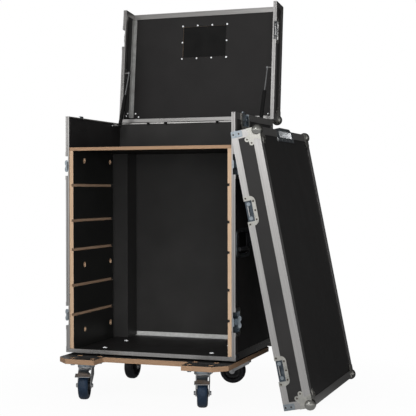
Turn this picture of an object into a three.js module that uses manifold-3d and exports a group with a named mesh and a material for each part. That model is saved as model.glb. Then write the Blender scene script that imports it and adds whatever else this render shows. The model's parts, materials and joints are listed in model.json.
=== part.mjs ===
// A plywood road case on a castor board. Its lid stands open on gas struts and its front cover
// leans against one side. Millimetres, +X right, +Y to the back, +Z up.
// The case is drawn with its bottom edge at height 0 and its front edge at depth 0. The last lines
// move the whole part, so that its origin lies in the middle under it, on the floor.
import * as THREE from "three";
import { mergeVertices } from "three/addons/utils/BufferGeometryUtils.js";
import Module from "manifold-3d";

const wasm = await Module();
wasm.setup();

// Driving sizes of the box
const case_width = 660;
const case_depth = 472;
const case_height = 873;
const lid_height = 96;
const cover_depth = 102;
const ply = 9;
const fit_gap = 0.3; // between pieces that touch
const cut_over = 2; // how far a cut runs past the face it starts from
const rest_lid_angle = 96.1; // degrees, the lid's stop
const rest_cover_lean = 11.35; // degrees from upright
const cover_edge_gap = 1.2; // between the leaning cover's top edge and the case's side
const cover_front_over = 55; // how far its near side stands in front of the case

// Closing profile of the rims, an aluminium channel over the plywood's edge
const profile_wall = 1.5;
const rim_face = 14;
const rim_leg = 23;
const rim_lip_depth = 12;
const lid_lip_depth = 20;
const rim_web = 4;
const groove_width = 3;
const groove_depth = 2.5;
const tongue_clearance = 0.4;

// Edge angle and ball corner
const angle_leg = 27.5;
const ball_radius = 21;
const ball_proud = 11;
const corner_plate_leg = 46;
const corner_plate_width = 27;
const corner_plate_slant = 9;
const corner_plate_thickness = 1.2;
const ear_radius = 8;
const ear_reach = 44;
const ear_pitch = 16;

// Inside fittings
const liner_thickness = 18;
const liner_front = 3;
const liner_duct_gap = 22;
const shelf_drop = 127; // from the top of the case to the shelf's underside
const shelf_thickness = 12;
const groove_cut_height = 10;
const groove_cut_depth = 7;
const groove_height_shares = [0.175, 0.3225, 0.503, 0.649, 0.827];
const hole_diameter = 20;
const hole_depth = 8;
const hole_height_shares = [0.088, 0.42, 0.953];
const hole_depth_shares = [0.27, 0.93];
const duct_depth = 89.2; // from the rear wall to its front face
const duct_width = 73;

// Latches
const latch_length = 103; // flange, along the rim
const latch_reach = 58; // flange, from the rim into the panel
const latch_corner = 20;
const latch_sheet = 1.2;
const recess_length = 72;
const recess_reach = 45;
const keeper_reach = 41; // the keeper's flange
const keeper_recess_reach = 27.5;
const recess_depth = 9.2; // from the profile's outer face to the pan's floor
const latch_low = 136;
const latch_high_drop = 183; // from the top of the case to the upper latch's middle
const latch_top_back = 117; // from the front edge to the top latch's middle
const wing_pivot = 23; // from the rim
const wing_hub_diameter = 12;
const wing_disc_diameter = 34;
const wing_disc_thickness = 2;
const wing_width = 44;
const wing_root_width = 22;
const wing_thickness = 2.4;
const wing_proud = 15;
const wing_notch = 5;
const hook_width = 28;
const hook_thickness = 2;
const hook_over = 7; // beyond the rim when the latch is open
const hook_lip = 4;
const hook_travel = 6; // each way from rest
const hook_clearance = 0.5;
const bridge_length = 31;
const bridge_width = 3;
const bridge_set_back = 7.6;
const bridge_thickness = 2;
const bridge_rise = 5.5;
const boss_diameter = 14;
const boss_height = 2.4;
const boss_offset = 24.7;
const boss_set_back = 12.3;

// Recessed handles
const handle_width = 160;
const handle_height = 105;
const handle_corner = 24;
const handle_opening_width = 110;
const handle_opening_height = 76;
const handle_level_share = 0.473; // of the case's height
const handle_back = 91; // from the front or the rear edge to the handle's middle
const bail_pivot_rise = 28;
const bail_drop = 50;
const bail_arm_width = 9;
const bail_arm_thickness = 6;
const bail_grip_diameter = 15;
const bail_pin_diameter = 6;
const bail_pin_depth = 2.3; // behind the profile's outer face
const bail_end_clearance = 0.8;

// Label dish in the lid and edge grip on the cover
const label_width = 208; // flange
const label_height = 152;
const label_opening_width = 183;
const label_opening_height = 125;
const label_corner = 6;
const label_recess = 7.5;
const label_middle_share = 0.7326; // of the way from the hinge to the lid's front
const grip_width = 220;
const grip_face_reach = 42;
const grip_side_reach = 62;
const grip_opening_width = 168;
const grip_opening_top = 4; // below the cover's edge
const grip_opening_low = 27;
const grip_opening_depth = 44;
const grip_bead_rise = 9;
const grip_bead_depth = 24;

// Hinges
const hinge_offset = 165;
const hinge_width = 76;
const hinge_leaf_height = 32;
const hinge_leaf_thickness = 2;
const hinge_knuckle_diameter = 8;
const hinge_knuckles = 5;
const hinge_side_gap = 0.4;

// Gas struts
const strut_inset = 22; // from the side wall's inner face to the strut's axis
const strut_foot_from_hinge = 64.4;
const strut_foot_drop = 12;
const strut_head_from_hinge = 212;
const strut_head_rise = 8;
const strut_diameter = 15;
const strut_body_length = 130;
const strut_rod_diameter = 6;
const strut_eye_diameter = 14;
const strut_eye_thickness = 8;
const strut_bore_start = 14; // from the foot stud to the floor of the rod's bore
const stud_diameter = 6;
const stud_clearance = 0.4;
const stud_plate_length = 42;
const stud_plate_height = 20;
const stud_plate_thickness = 2;

// Castor board and castors
const board_width = 650;
const board_thickness = 18;
const board_gap = 7;
const board_front = -25;
const tab_front = -106;
const tab_inner = 166;
const tab_chamfer = 45;
const tab_fillet = 14;
const spacer_diameter = 40;
const spacer_offset = 212;
const spacer_front_back = 85;
const spacer_rear_back = 280;
const castor_offset = 225.5;
const castor_from_edge = 60;
const castor_height = 127;
const castor_plate_width = 105;
const castor_plate_depth = 85;
const castor_plate_thickness = 3;
const castor_bolt_width = 80;
const castor_bolt_depth = 60;
const castor_counterbore = 21;
const castor_counterbore_depth = 5;
const race_diameter = 62;
const race_height = 9;
const fork_crown_height = 5;
const fork_wall = 3;
const fork_half_gap = 21.5;
const fork_trail = 40;
const wheel_diameter = 100;
const wheel_width = 36;
const wheel_hub_width = 41;
const wheel_hub_diameter = 30;
const wheel_rim_diameter = 70;
const wheel_shoulder = 9;
const wheel_web = 12;
const axle_diameter = 9;
const axle_nut_diameter = 15;
const axle_nut_height = 6;
const axle_boss_diameter = 24;
const fork_back_drop = 32; // from the crown to the legs' rear corner
const bore_clearance = 0.4;
const pedal_width = 38;
const pedal_toe_width = 54;
const pedal_thickness = 2.4;
const pedal_pin_diameter = 7;
const pedal_reach = 92;
const pedal_path_shares = [[0, -0.01], [0.5, -0.01], [0.75, 0.11], [1, 0.25]];
const castor_turns = [17, 18, 0, -82]; // degrees: front left, front right, rear left, rear right

// Derived planes of the box
const half_width = case_width / 2;
const ply_outer = profile_wall + fit_gap; // from the outer face to the plywood
const ply_inner = ply_outer + ply;
const wall_inner_x = half_width - ply_inner;
const rear_inner_y = case_depth - ply_inner;
const floor_top = ply_inner;
const hinge_set = hinge_knuckle_diameter / 2 + hinge_side_gap;
const hinge_back = case_depth + hinge_set;
const shelf_height = case_height - shelf_drop;
const duct_front = rear_inner_y - duct_depth;
const liner_depth = duct_front - liner_duct_gap - liner_front;
const latch_high = case_height - latch_high_drop;
const handle_level = handle_level_share * case_height;
const label_from_hinge = label_middle_share * hinge_back;
const strut_foot_back = hinge_back - strut_foot_from_hinge;

const aluminium = new THREE.MeshStandardMaterial({ color: 0xc6c5c3, roughness: 0.38, metalness: 1 });
const zinc = new THREE.MeshStandardMaterial({ color: 0xa9b1b8, roughness: 0.32, metalness: 1 });
const black_ply = new THREE.MeshStandardMaterial({ color: 0x1d1c1d, roughness: 0.6, metalness: 0 });
const birch_ply = new THREE.MeshStandardMaterial({ color: 0xc4a07c, roughness: 0.7, metalness: 0 });
const steel_rod = new THREE.MeshStandardMaterial({ color: 0xb9bcc0, roughness: 0.2, metalness: 1 });
const black_steel = new THREE.MeshStandardMaterial({ color: 0x15161a, roughness: 0.35, metalness: 0.6 });
const navy_rubber = new THREE.MeshStandardMaterial({ color: 0x16294a, roughness: 0.55, metalness: 0 });

// Geometry helpers

// Turns a geometry's faces outwards if its signed volume is negative.
function facingOut(geometry) {
  const place = geometry.attributes.position;
  const index = geometry.index.array;
  const corners = [new THREE.Vector3(), new THREE.Vector3(), new THREE.Vector3()];
  let volume = 0;
  for (let i = 0; i < index.length; i += 3) {
    corners.forEach((corner, j) => corner.fromBufferAttribute(place, index[i + j]));
    volume += corners[0].dot(corners[1].cross(corners[2]));
  }
  if (volume < 0) {
    for (let i = 0; i < index.length; i += 3) {
      [index[i + 1], index[i + 2]] = [index[i + 2], index[i + 1]];
    }
  }
  return geometry;
}

// Leaves only the positions, with shared corners merged.
function bare(geometry) {
  const clean = geometry.clone();
  for (const name of Object.keys(clean.attributes)) {
    if (name !== "position") {
      clean.deleteAttribute(name);
    }
  }
  return facingOut(mergeVertices(clean));
}

function solid(geometry) {
  const clean = bare(geometry);
  return new wasm.Manifold(
    new wasm.Mesh({
      numProp: 3,
      vertProperties: new Float32Array(clean.attributes.position.array),
      triVerts: new Uint32Array(clean.index.array),
    }),
  );
}

function geometryOf(body) {
  const mesh = body.getMesh();
  const geometry = new THREE.BufferGeometry();
  geometry.setAttribute("position", new THREE.BufferAttribute(new Float32Array(mesh.vertProperties), 3));
  geometry.setIndex(new THREE.BufferAttribute(new Uint32Array(mesh.triVerts), 1));
  return geometry;
}

function join(...bodies) {
  return bodies.flat().reduce((sum, body) => sum.add(body));
}

function cut(body, ...tools) {
  return tools.flat().reduce((rest, tool) => rest.subtract(tool), body);
}

// A box between two corners, given in any order.
function block(x0, x1, y0, y1, z0, z1) {
  const geometry = new THREE.BoxGeometry(Math.abs(x1 - x0), Math.abs(y1 - y0), Math.abs(z1 - z0));
  geometry.translate((x0 + x1) / 2, (y0 + y1) / 2, (z0 + z1) / 2);
  return solid(geometry);
}

// A plate from an outline in X and Y, between two heights.
function plate(shape, z0, z1, curve_steps = 3) {
  const geometry = new THREE.ExtrudeGeometry(shape, {
    depth: Math.abs(z1 - z0),
    bevelEnabled: false,
    curveSegments: curve_steps,
  });
  geometry.translate(0, 0, Math.min(z0, z1));
  return solid(geometry);
}

function polygon(points) {
  return new THREE.Shape(points.map(([x, y]) => new THREE.Vector2(x, y)));
}

// A rectangle about the origin with round corners.
function roundedRectangle(width, height, radius) {
  const [x, y] = [width / 2, height / 2];
  const shape = new THREE.Shape();
  shape.moveTo(-x + radius, -y);
  shape.lineTo(x - radius, -y);
  shape.absarc(x - radius, -y + radius, radius, -Math.PI / 2, 0);
  shape.lineTo(x, y - radius);
  shape.absarc(x - radius, y - radius, radius, 0, Math.PI / 2);
  shape.lineTo(-x + radius, y);
  shape.absarc(-x + radius, y - radius, radius, Math.PI / 2, Math.PI);
  shape.lineTo(-x, -y + radius);
  shape.absarc(-x + radius, -y + radius, radius, Math.PI, 1.5 * Math.PI);
  return shape;
}

// A round bar along Z.
function bar(x, y, z0, z1, diameter, sides = 12) {
  const geometry = new THREE.CylinderGeometry(diameter / 2, diameter / 2, Math.abs(z1 - z0), sides);
  geometry.rotateX(Math.PI / 2);
  geometry.translate(x, y, (z0 + z1) / 2);
  return solid(geometry);
}

// A round bar along X.
function crossBar(x0, x1, y, z, diameter, sides = 10) {
  const geometry = new THREE.CylinderGeometry(diameter / 2, diameter / 2, Math.abs(x1 - x0), sides);
  geometry.rotateZ(Math.PI / 2);
  geometry.translate((x0 + x1) / 2, y, z);
  return solid(geometry);
}

// Moves a solid into a frame given by three axes and an origin.
function placed(body, frame) {
  const geometry = geometryOf(body);
  geometry.applyMatrix4(frame);
  return solid(geometry);
}

const axis = {
  x: new THREE.Vector3(1, 0, 0),
  y: new THREE.Vector3(0, 1, 0),
  z: new THREE.Vector3(0, 0, 1),
};

function frameAt(right, up, out, x, y, z) {
  return new THREE.Matrix4().makeBasis(right, up, out).setPosition(x, y, z);
}

// Sweeps a flat section round a path of straight runs and mitres its corners. A section point is
// [inset, rise]: the inset is measured from the path to its left side, the rise along Z.
function mitredFrame(section, path, closed = false) {
  const flat = section.map(([inset, rise]) => new THREE.Vector2(inset, rise));
  if (THREE.ShapeUtils.isClockWise(flat)) {
    flat.reverse();
  }
  const corners = path.map(([x, y]) => new THREE.Vector2(x, y));
  const count = corners.length;
  const around = flat.length;
  const leftOf = (a, b) => new THREE.Vector2(a.y - b.y, b.x - a.x).normalize();
  const positions = [];
  corners.forEach((corner, i) => {
    const normals = [];
    if (closed || i > 0) {
      normals.push(leftOf(corners[(i + count - 1) % count], corner));
    }
    if (closed || i < count - 1) {
      normals.push(leftOf(corner, corners[(i + 1) % count]));
    }
    const inward = normals[0].clone();
    if (normals.length === 2) {
      inward.add(normals[1]).divideScalar(1 + normals[0].dot(normals[1]));
    }
    for (const point of flat) {
      positions.push(corner.x + point.x * inward.x, corner.y + point.x * inward.y, point.y);
    }
  });
  const index = [];
  const runs = closed ? count : count - 1;
  for (let i = 0; i < runs; i += 1) {
    const next = (i + 1) % count;
    for (let j = 0; j < around; j += 1) {
      const k = (j + 1) % around;
      const quad = [i * around + j, i * around + k, next * around + k, next * around + j];
      index.push(quad[0], quad[1], quad[2], quad[0], quad[2], quad[3]);
    }
  }
  if (!closed) {
    const last = (count - 1) * around;
    for (const [a, b, c] of THREE.ShapeUtils.triangulateShape(flat, [])) {
      index.push(a, c, b, last + a, last + b, last + c);
    }
  }
  const geometry = new THREE.BufferGeometry();
  geometry.setAttribute("position", new THREE.Float32BufferAttribute(positions, 3));
  geometry.setIndex(index);
  return solid(geometry);
}

// Sections

// The closing profile: a channel over the plywood with a long outer leg and, where the lip's depth
// is more than the web's, an inner lip.
function rimSection(has_tongue, lip_depth) {
  const middle = rim_face / 2;
  const half_groove = groove_width / 2;
  const half_tongue = half_groove - tongue_clearance;
  const tongue = groove_depth - tongue_clearance;
  const lip_outer = ply_inner + fit_gap;
  const lip_inner = lip_outer + profile_wall;
  const half_joint = has_tongue ? half_tongue : half_groove;
  const joint_level = has_tongue ? -tongue : groove_depth;
  const lip = [
    [lip_inner, rim_web],
    [lip_inner, lip_depth],
    [lip_outer, lip_depth],
    [lip_outer, rim_web],
  ];
  return [
    [0, 0],
    [middle - half_joint, 0],
    [middle - half_joint, joint_level],
    [middle + half_joint, joint_level],
    [middle + half_joint, 0],
    [rim_face, 0],
    [rim_face, rim_web],
    ...(lip_depth > rim_web ? lip : []),
    [profile_wall, rim_web],
    [profile_wall, rim_leg],
    [0, rim_leg],
  ];
}

// An outer edge angle, with its corner at the path.
const angle_section = [
  [0, 0],
  [angle_leg, 0],
  [angle_leg, profile_wall],
  [profile_wall, profile_wall],
  [profile_wall, angle_leg],
  [0, angle_leg],
];

// Hardware that is riveted on, drawn at a rim: X along the rim, Y into the panel, Z outwards.

function latchFlange(reach) {
  const half = latch_length / 2;
  const far = reach - latch_corner;
  const outline = new THREE.Shape();
  outline.moveTo(-half, 0);
  outline.lineTo(half, 0);
  outline.lineTo(half, far);
  outline.absarc(half - latch_corner, far, latch_corner, 0, Math.PI / 2);
  outline.lineTo(-half + latch_corner, reach);
  outline.absarc(-half + latch_corner, far, latch_corner, Math.PI / 2, Math.PI);
  return plate(outline, -fit_gap, latch_sheet);
}

// The pan: a flange with a recess that is open to the rim.
function latchPan(flange_reach, reach) {
  const half = recess_length / 2;
  const outer = block(
    -half - latch_sheet, half + latch_sheet, 0, reach + latch_sheet, -recess_depth - latch_sheet, 0,
  );
  const inner = block(-half, half, -cut_over, reach, -recess_depth, latch_sheet + cut_over);
  return cut(join(latchFlange(flange_reach), outer), inner);
}

// The space that a pan takes out of a profile.
function panNotch(reach) {
  const half = recess_length / 2 + latch_sheet / 2;
  const far = reach + latch_sheet / 2;
  return block(-half, half, -cut_over, far, -recess_depth - latch_sheet / 2, cut_over);
}

// The space that it takes out of the plywood.
function panPocket(reach) {
  const half = recess_length / 2 + latch_sheet + fit_gap;
  const far = reach + latch_sheet + fit_gap;
  return block(-half, half, -cut_over, far, -ply_inner - cut_over, cut_over);
}

// The gap in a tongue, where it would cross the ends of the pan on the other side.
function tongueGap() {
  const half = recess_length / 2 + latch_sheet + tongue_clearance;
  return block(-half, half, -groove_depth - cut_over, 0, -rim_face, cut_over);
}

// The keeper: a shorter pan, with a raised bridge between two bosses for the hook to catch.
function keeperPan() {
  const half = bridge_length / 2;
  const floor = -recess_depth - latch_sheet / 2;
  const top = -recess_depth + bridge_rise;
  const bosses = [-1, 1].map((side) =>
    bar(side * boss_offset, boss_set_back, floor, -recess_depth + boss_height, boss_diameter, 8),
  );
  const [near, far] = [bridge_set_back, bridge_set_back + bridge_width];
  const bridge = block(-half, half, near, far, top - bridge_thickness, top);
  const feet = [-1, 1].map((side) =>
    block(side * half - bridge_thickness, side * half + bridge_thickness, near, far, floor, top),
  );
  return join(latchPan(keeper_reach, keeper_recess_reach), bosses, bridge, feet);
}

const hook_floor = -recess_depth + hook_clearance;
const hook_slot_width = wing_hub_diameter + 2 * hook_clearance;

// The sliding hook, with a slot for the wing's hub and a lip at its tip.
function latchHook() {
  const half = hook_width / 2;
  const back = wing_pivot + hook_slot_width / 2 + hook_travel + hook_thickness;
  const top = hook_floor + hook_thickness;
  const body = block(-half, half, -hook_over, back, hook_floor, top);
  const lip = block(-half, half, -hook_over, -hook_over + hook_thickness, hook_floor, top + hook_lip);
  const slot_reach = hook_slot_width / 2 + hook_travel;
  const slot = block(
    -hook_slot_width / 2, hook_slot_width / 2, wing_pivot - slot_reach, wing_pivot + slot_reach,
    hook_floor - cut_over, top + cut_over,
  );
  return cut(join(body, lip), slot);
}

// The butterfly wing on its turning disc, drawn about its own pivot.
function latchWing() {
  const disc_floor = hook_floor + hook_thickness + hook_clearance;
  const disc_top = disc_floor + wing_disc_thickness;
  const hub = bar(0, 0, hook_floor, disc_top, wing_hub_diameter, 8);
  const disc = bar(0, 0, disc_floor, disc_top, wing_disc_diameter, 14);
  const [half, root] = [wing_width / 2, wing_root_width / 2];
  const shoulder = latch_sheet + hook_clearance;
  const outline = new THREE.Shape();
  outline.moveTo(-root, disc_top - latch_sheet);
  outline.lineTo(root, disc_top - latch_sheet);
  outline.lineTo(root, shoulder);
  outline.quadraticCurveTo(half, shoulder, half, (shoulder + wing_proud) / 2);
  outline.quadraticCurveTo(half, wing_proud, root, wing_proud);
  outline.quadraticCurveTo(wing_notch, wing_proud, 0, wing_proud - wing_notch);
  outline.quadraticCurveTo(-wing_notch, wing_proud, -root, wing_proud);
  outline.quadraticCurveTo(-half, wing_proud, -half, (shoulder + wing_proud) / 2);
  outline.quadraticCurveTo(-half, shoulder, -root, shoulder);
  const blade = placed(
    plate(outline, -wing_thickness / 2, wing_thickness / 2),
    frameAt(axis.x, axis.z, axis.y.clone().negate(), 0, 0, 0),
  );
  return join(hub, disc, blade);
}

// Ball corner, drawn at a corner of the box: X, Y and Z run from the corner along its three edges.
function cornerPlate() {
  const leg = corner_plate_leg;
  const width = corner_plate_width;
  const slant = corner_plate_slant;
  const outline = [[0, 0], [leg, 0], [leg - slant, width], [width, width], [width, leg - slant], [0, leg]];
  const arms = plate(polygon(outline), -corner_plate_thickness, fit_gap);
  const middle = ear_reach / 2 + ear_pitch / 4;
  const shift = ear_pitch / 2 / Math.SQRT2;
  const lobes = [-1, 1].map((side) =>
    bar(middle + side * shift, middle - side * shift, -corner_plate_thickness, fit_gap, 2 * ear_radius, 8),
  );
  return join(arms, lobes);
}

function ballCorner() {
  const face = cornerPlate();
  const faces = [
    face,
    placed(face, frameAt(axis.y, axis.z, axis.x, 0, 0, 0)),
    placed(face, frameAt(axis.z, axis.x, axis.y, 0, 0, 0)),
  ];
  const ball = new THREE.SphereGeometry(ball_radius, 10, 6);
  const centre = ball_radius - ball_proud;
  ball.translate(centre, centre, centre);
  const [near, far] = [profile_wall, 2 * ball_radius];
  const hollow = block(near, far, near, far, near, far);
  return cut(join(solid(ball), faces), hollow);
}

const ball_corner = ballCorner();

function cornerAt(x, y, z, toward_x, toward_y, toward_z) {
  const frame = frameAt(
    axis.x.clone().multiplyScalar(toward_x),
    axis.y.clone().multiplyScalar(toward_y),
    axis.z.clone().multiplyScalar(toward_z),
    x, y, z,
  );
  return placed(ball_corner, frame);
}

// Where the latches sit, on the sides of the case.
const sides = [
  { name: "left", sign: -1 },
  { name: "right", sign: 1 },
];

// A frame at a side's front rim: along the rim, into the panel, outwards.
function frontRimFrame(sign, height) {
  return frameAt(
    axis.z.clone().multiplyScalar(-sign), axis.y, axis.x.clone().multiplyScalar(sign),
    sign * half_width, 0, height,
  );
}

// The same at the top rim, looking down into the panel.
function topRimFrame(sign, back, height) {
  return frameAt(
    axis.y.clone().multiplyScalar(-sign), axis.z.clone().negate(), axis.x.clone().multiplyScalar(sign),
    sign * half_width, back, height,
  );
}

// And at the lid's lower rim, looking up into its side.
function lidRimFrame(sign, back, level) {
  return frameAt(
    axis.y.clone().multiplyScalar(sign), axis.z, axis.x.clone().multiplyScalar(sign),
    sign * half_width, back, level,
  );
}

const latch_seats = sides.flatMap(({ name, sign }) => [
  { name: `${name}_lower`, sign, on_top: false, frame: frontRimFrame(sign, latch_low) },
  { name: `${name}_upper`, sign, on_top: false, frame: frontRimFrame(sign, latch_high) },
  { name: `${name}_top`, sign, on_top: true, frame: topRimFrame(sign, latch_top_back, case_height) },
]);

// Where the handles sit: X to the side, Y up, Z outwards.
const handle_seats = sides.flatMap(({ name, sign }) =>
  [
    { place: "front", back: handle_back },
    { place: "rear", back: case_depth - handle_back },
  ].map(({ place, back }) => ({
    name: `${name}_${place}`,
    sign,
    frame: frameAt(
      axis.y.clone().multiplyScalar(sign), axis.z, axis.x.clone().multiplyScalar(sign),
      sign * half_width, back, handle_level,
    ),
  })),
);

const part = new THREE.Group();
const whole = new THREE.Group();
part.add(whole);

function addMesh(group, name, body, material) {
  const geometry = geometryOf(body).toNonIndexed();
  geometry.computeVertexNormals();
  const mesh = new THREE.Mesh(geometry, material);
  mesh.name = name;
  group.add(mesh);
  return mesh;
}

function addGroup(parent, name, frame) {
  const group = new THREE.Group();
  group.name = name;
  group.applyMatrix4(frame);
  parent.add(group);
  return group;
}

// Case body: walls, floor, shelf and liners

function handlePocket() {
  const around = latch_sheet + fit_gap;
  const [x, y] = [handle_opening_width / 2 + around, handle_opening_height / 2 + around];
  return block(-x, x, -y, y, -ply_inner - cut_over, cut_over);
}

// The lips that the front profile has inside, which the pieces behind it are rebated for.
function lipSpace() {
  const inner = half_width - rim_face - fit_gap;
  const back = rim_lip_depth + fit_gap;
  const uprights = [-1, 1].map((sign) =>
    block(sign * inner, sign * half_width, -cut_over, back, -cut_over, case_height + cut_over),
  );
  const sill = block(-half_width, half_width, -cut_over, back, -cut_over, rim_face + fit_gap);
  return join(uprights, sill);
}

function sideWall(sign) {
  const [inner, outer] = [wall_inner_x, half_width - ply_outer];
  const board = block(
    sign * inner, sign * outer, rim_web + fit_gap, rear_inner_y - fit_gap,
    ply_outer, case_height - rim_web - fit_gap,
  );
  const latches = latch_seats.filter((seat) => seat.sign === sign);
  const handles = handle_seats.filter((seat) => seat.sign === sign);
  return cut(
    board,
    latches.map((seat) => placed(panPocket(recess_reach), seat.frame)),
    handles.map((seat) => placed(handlePocket(), seat.frame)),
  );
}

addMesh(whole, "left_wall", sideWall(-1), black_ply);
addMesh(whole, "right_wall", sideWall(1), black_ply);
addMesh(
  whole, "rear_wall",
  block(
    -half_width + ply_outer, half_width - ply_outer, rear_inner_y, case_depth - ply_outer,
    ply_outer, case_height - rim_web - fit_gap,
  ),
  black_ply,
);
const floor_half = wall_inner_x - fit_gap;
addMesh(
  whole, "floor_panel",
  block(-floor_half, floor_half, rim_web + fit_gap, rear_inner_y - fit_gap, ply_outer, floor_top),
  black_ply,
);

const liner_bottom = floor_top + fit_gap;
const liner_top = shelf_height - fit_gap;
const liner_outer_x = wall_inner_x - fit_gap;
const liner_inner_x = liner_outer_x - liner_thickness;
const groove_levels = groove_height_shares.map((share) => liner_bottom + share * (liner_top - liner_bottom));

// A liner stands against a side wall. Its grooves are runners, and its holes take the wall screws.
function liner(sign) {
  const back = liner_front + liner_depth;
  const height = liner_top - liner_bottom;
  const board = block(
    sign * liner_inner_x, sign * liner_outer_x, liner_front, back, liner_bottom, liner_top,
  );
  const open = sign * (liner_inner_x - cut_over);
  const groove_floor = sign * (liner_inner_x + groove_cut_depth);
  const half_groove = groove_cut_height / 2;
  const grooves = groove_levels.map((level) =>
    block(
      groove_floor, open, liner_front - cut_over, back + cut_over, level - half_groove, level + half_groove,
    ),
  );
  const hole_floor = sign * (liner_inner_x + hole_depth);
  const holes = hole_height_shares.flatMap((height_share) =>
    hole_depth_shares.map((depth_share) =>
      crossBar(
        hole_floor, open, liner_front + depth_share * liner_depth, liner_bottom + height_share * height,
        hole_diameter,
      ),
    ),
  );
  return cut(board, grooves, holes, lipSpace());
}

addMesh(whole, "left_liner", liner(-1), birch_ply);
addMesh(whole, "right_liner", liner(1), birch_ply);
addMesh(
  whole, "divider_shelf",
  cut(
    block(
      -liner_outer_x, liner_outer_x, liner_front, rear_inner_y - fit_gap,
      shelf_height, shelf_height + shelf_thickness,
    ),
    lipSpace(),
  ),
  birch_ply,
);

// A duct in each rear corner: a front board and a side board, open to the walls.
function rearDuct(sign) {
  const outer = wall_inner_x - fit_gap;
  const inner = wall_inner_x - duct_width;
  const back = rear_inner_y - fit_gap;
  const outline = polygon([
    [sign * outer, duct_front], [sign * inner, duct_front], [sign * inner, back],
    [sign * (inner + ply), back], [sign * (inner + ply), duct_front + ply], [sign * outer, duct_front + ply],
  ]);
  return plate(outline, liner_bottom, liner_top);
}

addMesh(whole, "left_rear_duct", rearDuct(-1), black_ply);
addMesh(whole, "right_rear_duct", rearDuct(1), black_ply);

// Rims and edge angles of the body

const stand_up = frameAt(axis.x, axis.z, axis.y, 0, 0, 0); // a frame drawn flat stands on its edge

// A prism across the whole width, from an outline in Y and Z.
function sidePrism(points) {
  return placed(
    plate(polygon(points), -case_width, case_width),
    frameAt(axis.y, axis.z, axis.x, 0, 0, 0),
  );
}

// The slanting cut where the front uprights meet the top rails: keep = 1 cuts what lies above it.
function mitreCut(keep) {
  const reach = 2 * rim_leg;
  const level = case_height - keep * fit_gap / 2;
  return sidePrism([[-reach, level + reach], [reach, level - reach], [keep * reach, level + keep * reach]]);
}

function fitPans(frame, seats, reach, pan) {
  const notches = seats.map((seat) => placed(panNotch(reach), seat));
  const pans = seats.map((seat) => placed(pan, seat));
  return join(cut(frame, notches), pans);
}

// The front rim: two uprights and the bottom rail, with the pans of the four cover latches.
const front_path = [
  [-half_width, case_height], [-half_width, 0], [half_width, 0], [half_width, case_height],
];
const front_section = rimSection(false, rim_lip_depth);
const front_frame = cut(placed(mitredFrame(front_section, front_path), stand_up), mitreCut(1));
const front_seats = latch_seats.filter((seat) => !seat.on_top).map((seat) => seat.frame);
const latch_pan = latchPan(latch_reach, recess_reach);
addMesh(whole, "front_rim", fitPans(front_frame, front_seats, recess_reach, latch_pan), aluminium);

// One hinge half, drawn about the pin: a leaf below it, and every other knuckle.
function hingeHalf(first) {
  const knuckle = hinge_width / hinge_knuckles;
  const [near, far] = [-hinge_set - fit_gap, -hinge_set + hinge_leaf_thickness];
  const leaf_top = -hinge_knuckle_diameter / 2 - hinge_side_gap;
  const leaf = block(-hinge_width / 2, hinge_width / 2, near, far, -hinge_leaf_height, leaf_top);
  const pieces = [];
  for (let i = first; i < hinge_knuckles; i += 2) {
    const start = -hinge_width / 2 + i * knuckle + hinge_side_gap / 2;
    const end = start + knuckle - hinge_side_gap;
    pieces.push(crossBar(start, end, 0, 0, hinge_knuckle_diameter));
    pieces.push(block(start, end, near + fit_gap, far, leaf_top - fit_gap, 0));
  }
  return join(leaf, pieces);
}

// A strut's bracket on a side wall, drawn with the stud at the origin: a plate and its stud.
function studBracket(sign, stud_end, plate_low, plate_high) {
  const root = sign * (strut_inset - fit_gap);
  const face = root - sign * stud_plate_thickness;
  const half = stud_plate_length / 2;
  const board = block(root, face, -half, half, plate_low, plate_high);
  return join(board, crossBar(sign * stud_end, root, 0, 0, stud_diameter));
}

const strut_x = wall_inner_x - strut_inset;
const strut_foot = { y: strut_foot_back, z: case_height - strut_foot_drop };

// The top rim: two side rails and the rear rail, with the pans of the two lid latches, the hinges'
// lower leaves and the struts' lower brackets.
const top_path = [
  [half_width, 0], [half_width, case_depth], [-half_width, case_depth], [-half_width, 0],
];
const top_frame = placed(
  mitredFrame(rimSection(false, 0), top_path),
  frameAt(axis.x, axis.y, axis.z.clone().negate(), 0, 0, case_height),
);
const top_seats = latch_seats.filter((seat) => seat.on_top).map((seat) => seat.frame);
const hinge_lower = [-1, 1].map((side) =>
  placed(hingeHalf(0), frameAt(axis.x, axis.y, axis.z, side * hinge_offset, hinge_back, case_height)),
);
const foot_brackets = sides.map(({ sign }) =>
  placed(
    studBracket(sign, -strut_eye_thickness / 2, -stud_plate_height, strut_foot_drop - rim_web / 2),
    frameAt(axis.x, axis.y, axis.z, sign * strut_x, strut_foot.y, strut_foot.z),
  ),
);
const top_rails = fitPans(cut(top_frame, mitreCut(-1)), top_seats, recess_reach, latch_pan);
addMesh(whole, "top_rim", join(top_rails, hinge_lower, foot_brackets), aluminium);

// The edge angles: round the bottom, and up the two rear corners, with a ball corner at each.
function uprightAngle(sign, z0, z1, back) {
  const corner = sign * half_width;
  const inner = sign * (half_width - profile_wall);
  const leg = sign * (half_width - angle_leg);
  const outline = [
    [corner, back], [leg, back], [leg, back - profile_wall], [inner, back - profile_wall],
    [inner, back - angle_leg], [corner, back - angle_leg],
  ];
  return plate(polygon(outline), z0, z1);
}

const side_start = rim_leg + fit_gap;
const bottom_path = [
  [half_width, side_start], [half_width, case_depth], [-half_width, case_depth], [-half_width, side_start],
];
addMesh(
  whole, "body_edges",
  join(
    mitredFrame(angle_section, bottom_path),
    sides.map(({ sign }) => uprightAngle(sign, 0, case_height - rim_leg - fit_gap, case_depth)),
    sides.map(({ sign }) => cornerAt(sign * half_width, case_depth, 0, -sign, -1, 1)),
  ),
  aluminium,
);

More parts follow.
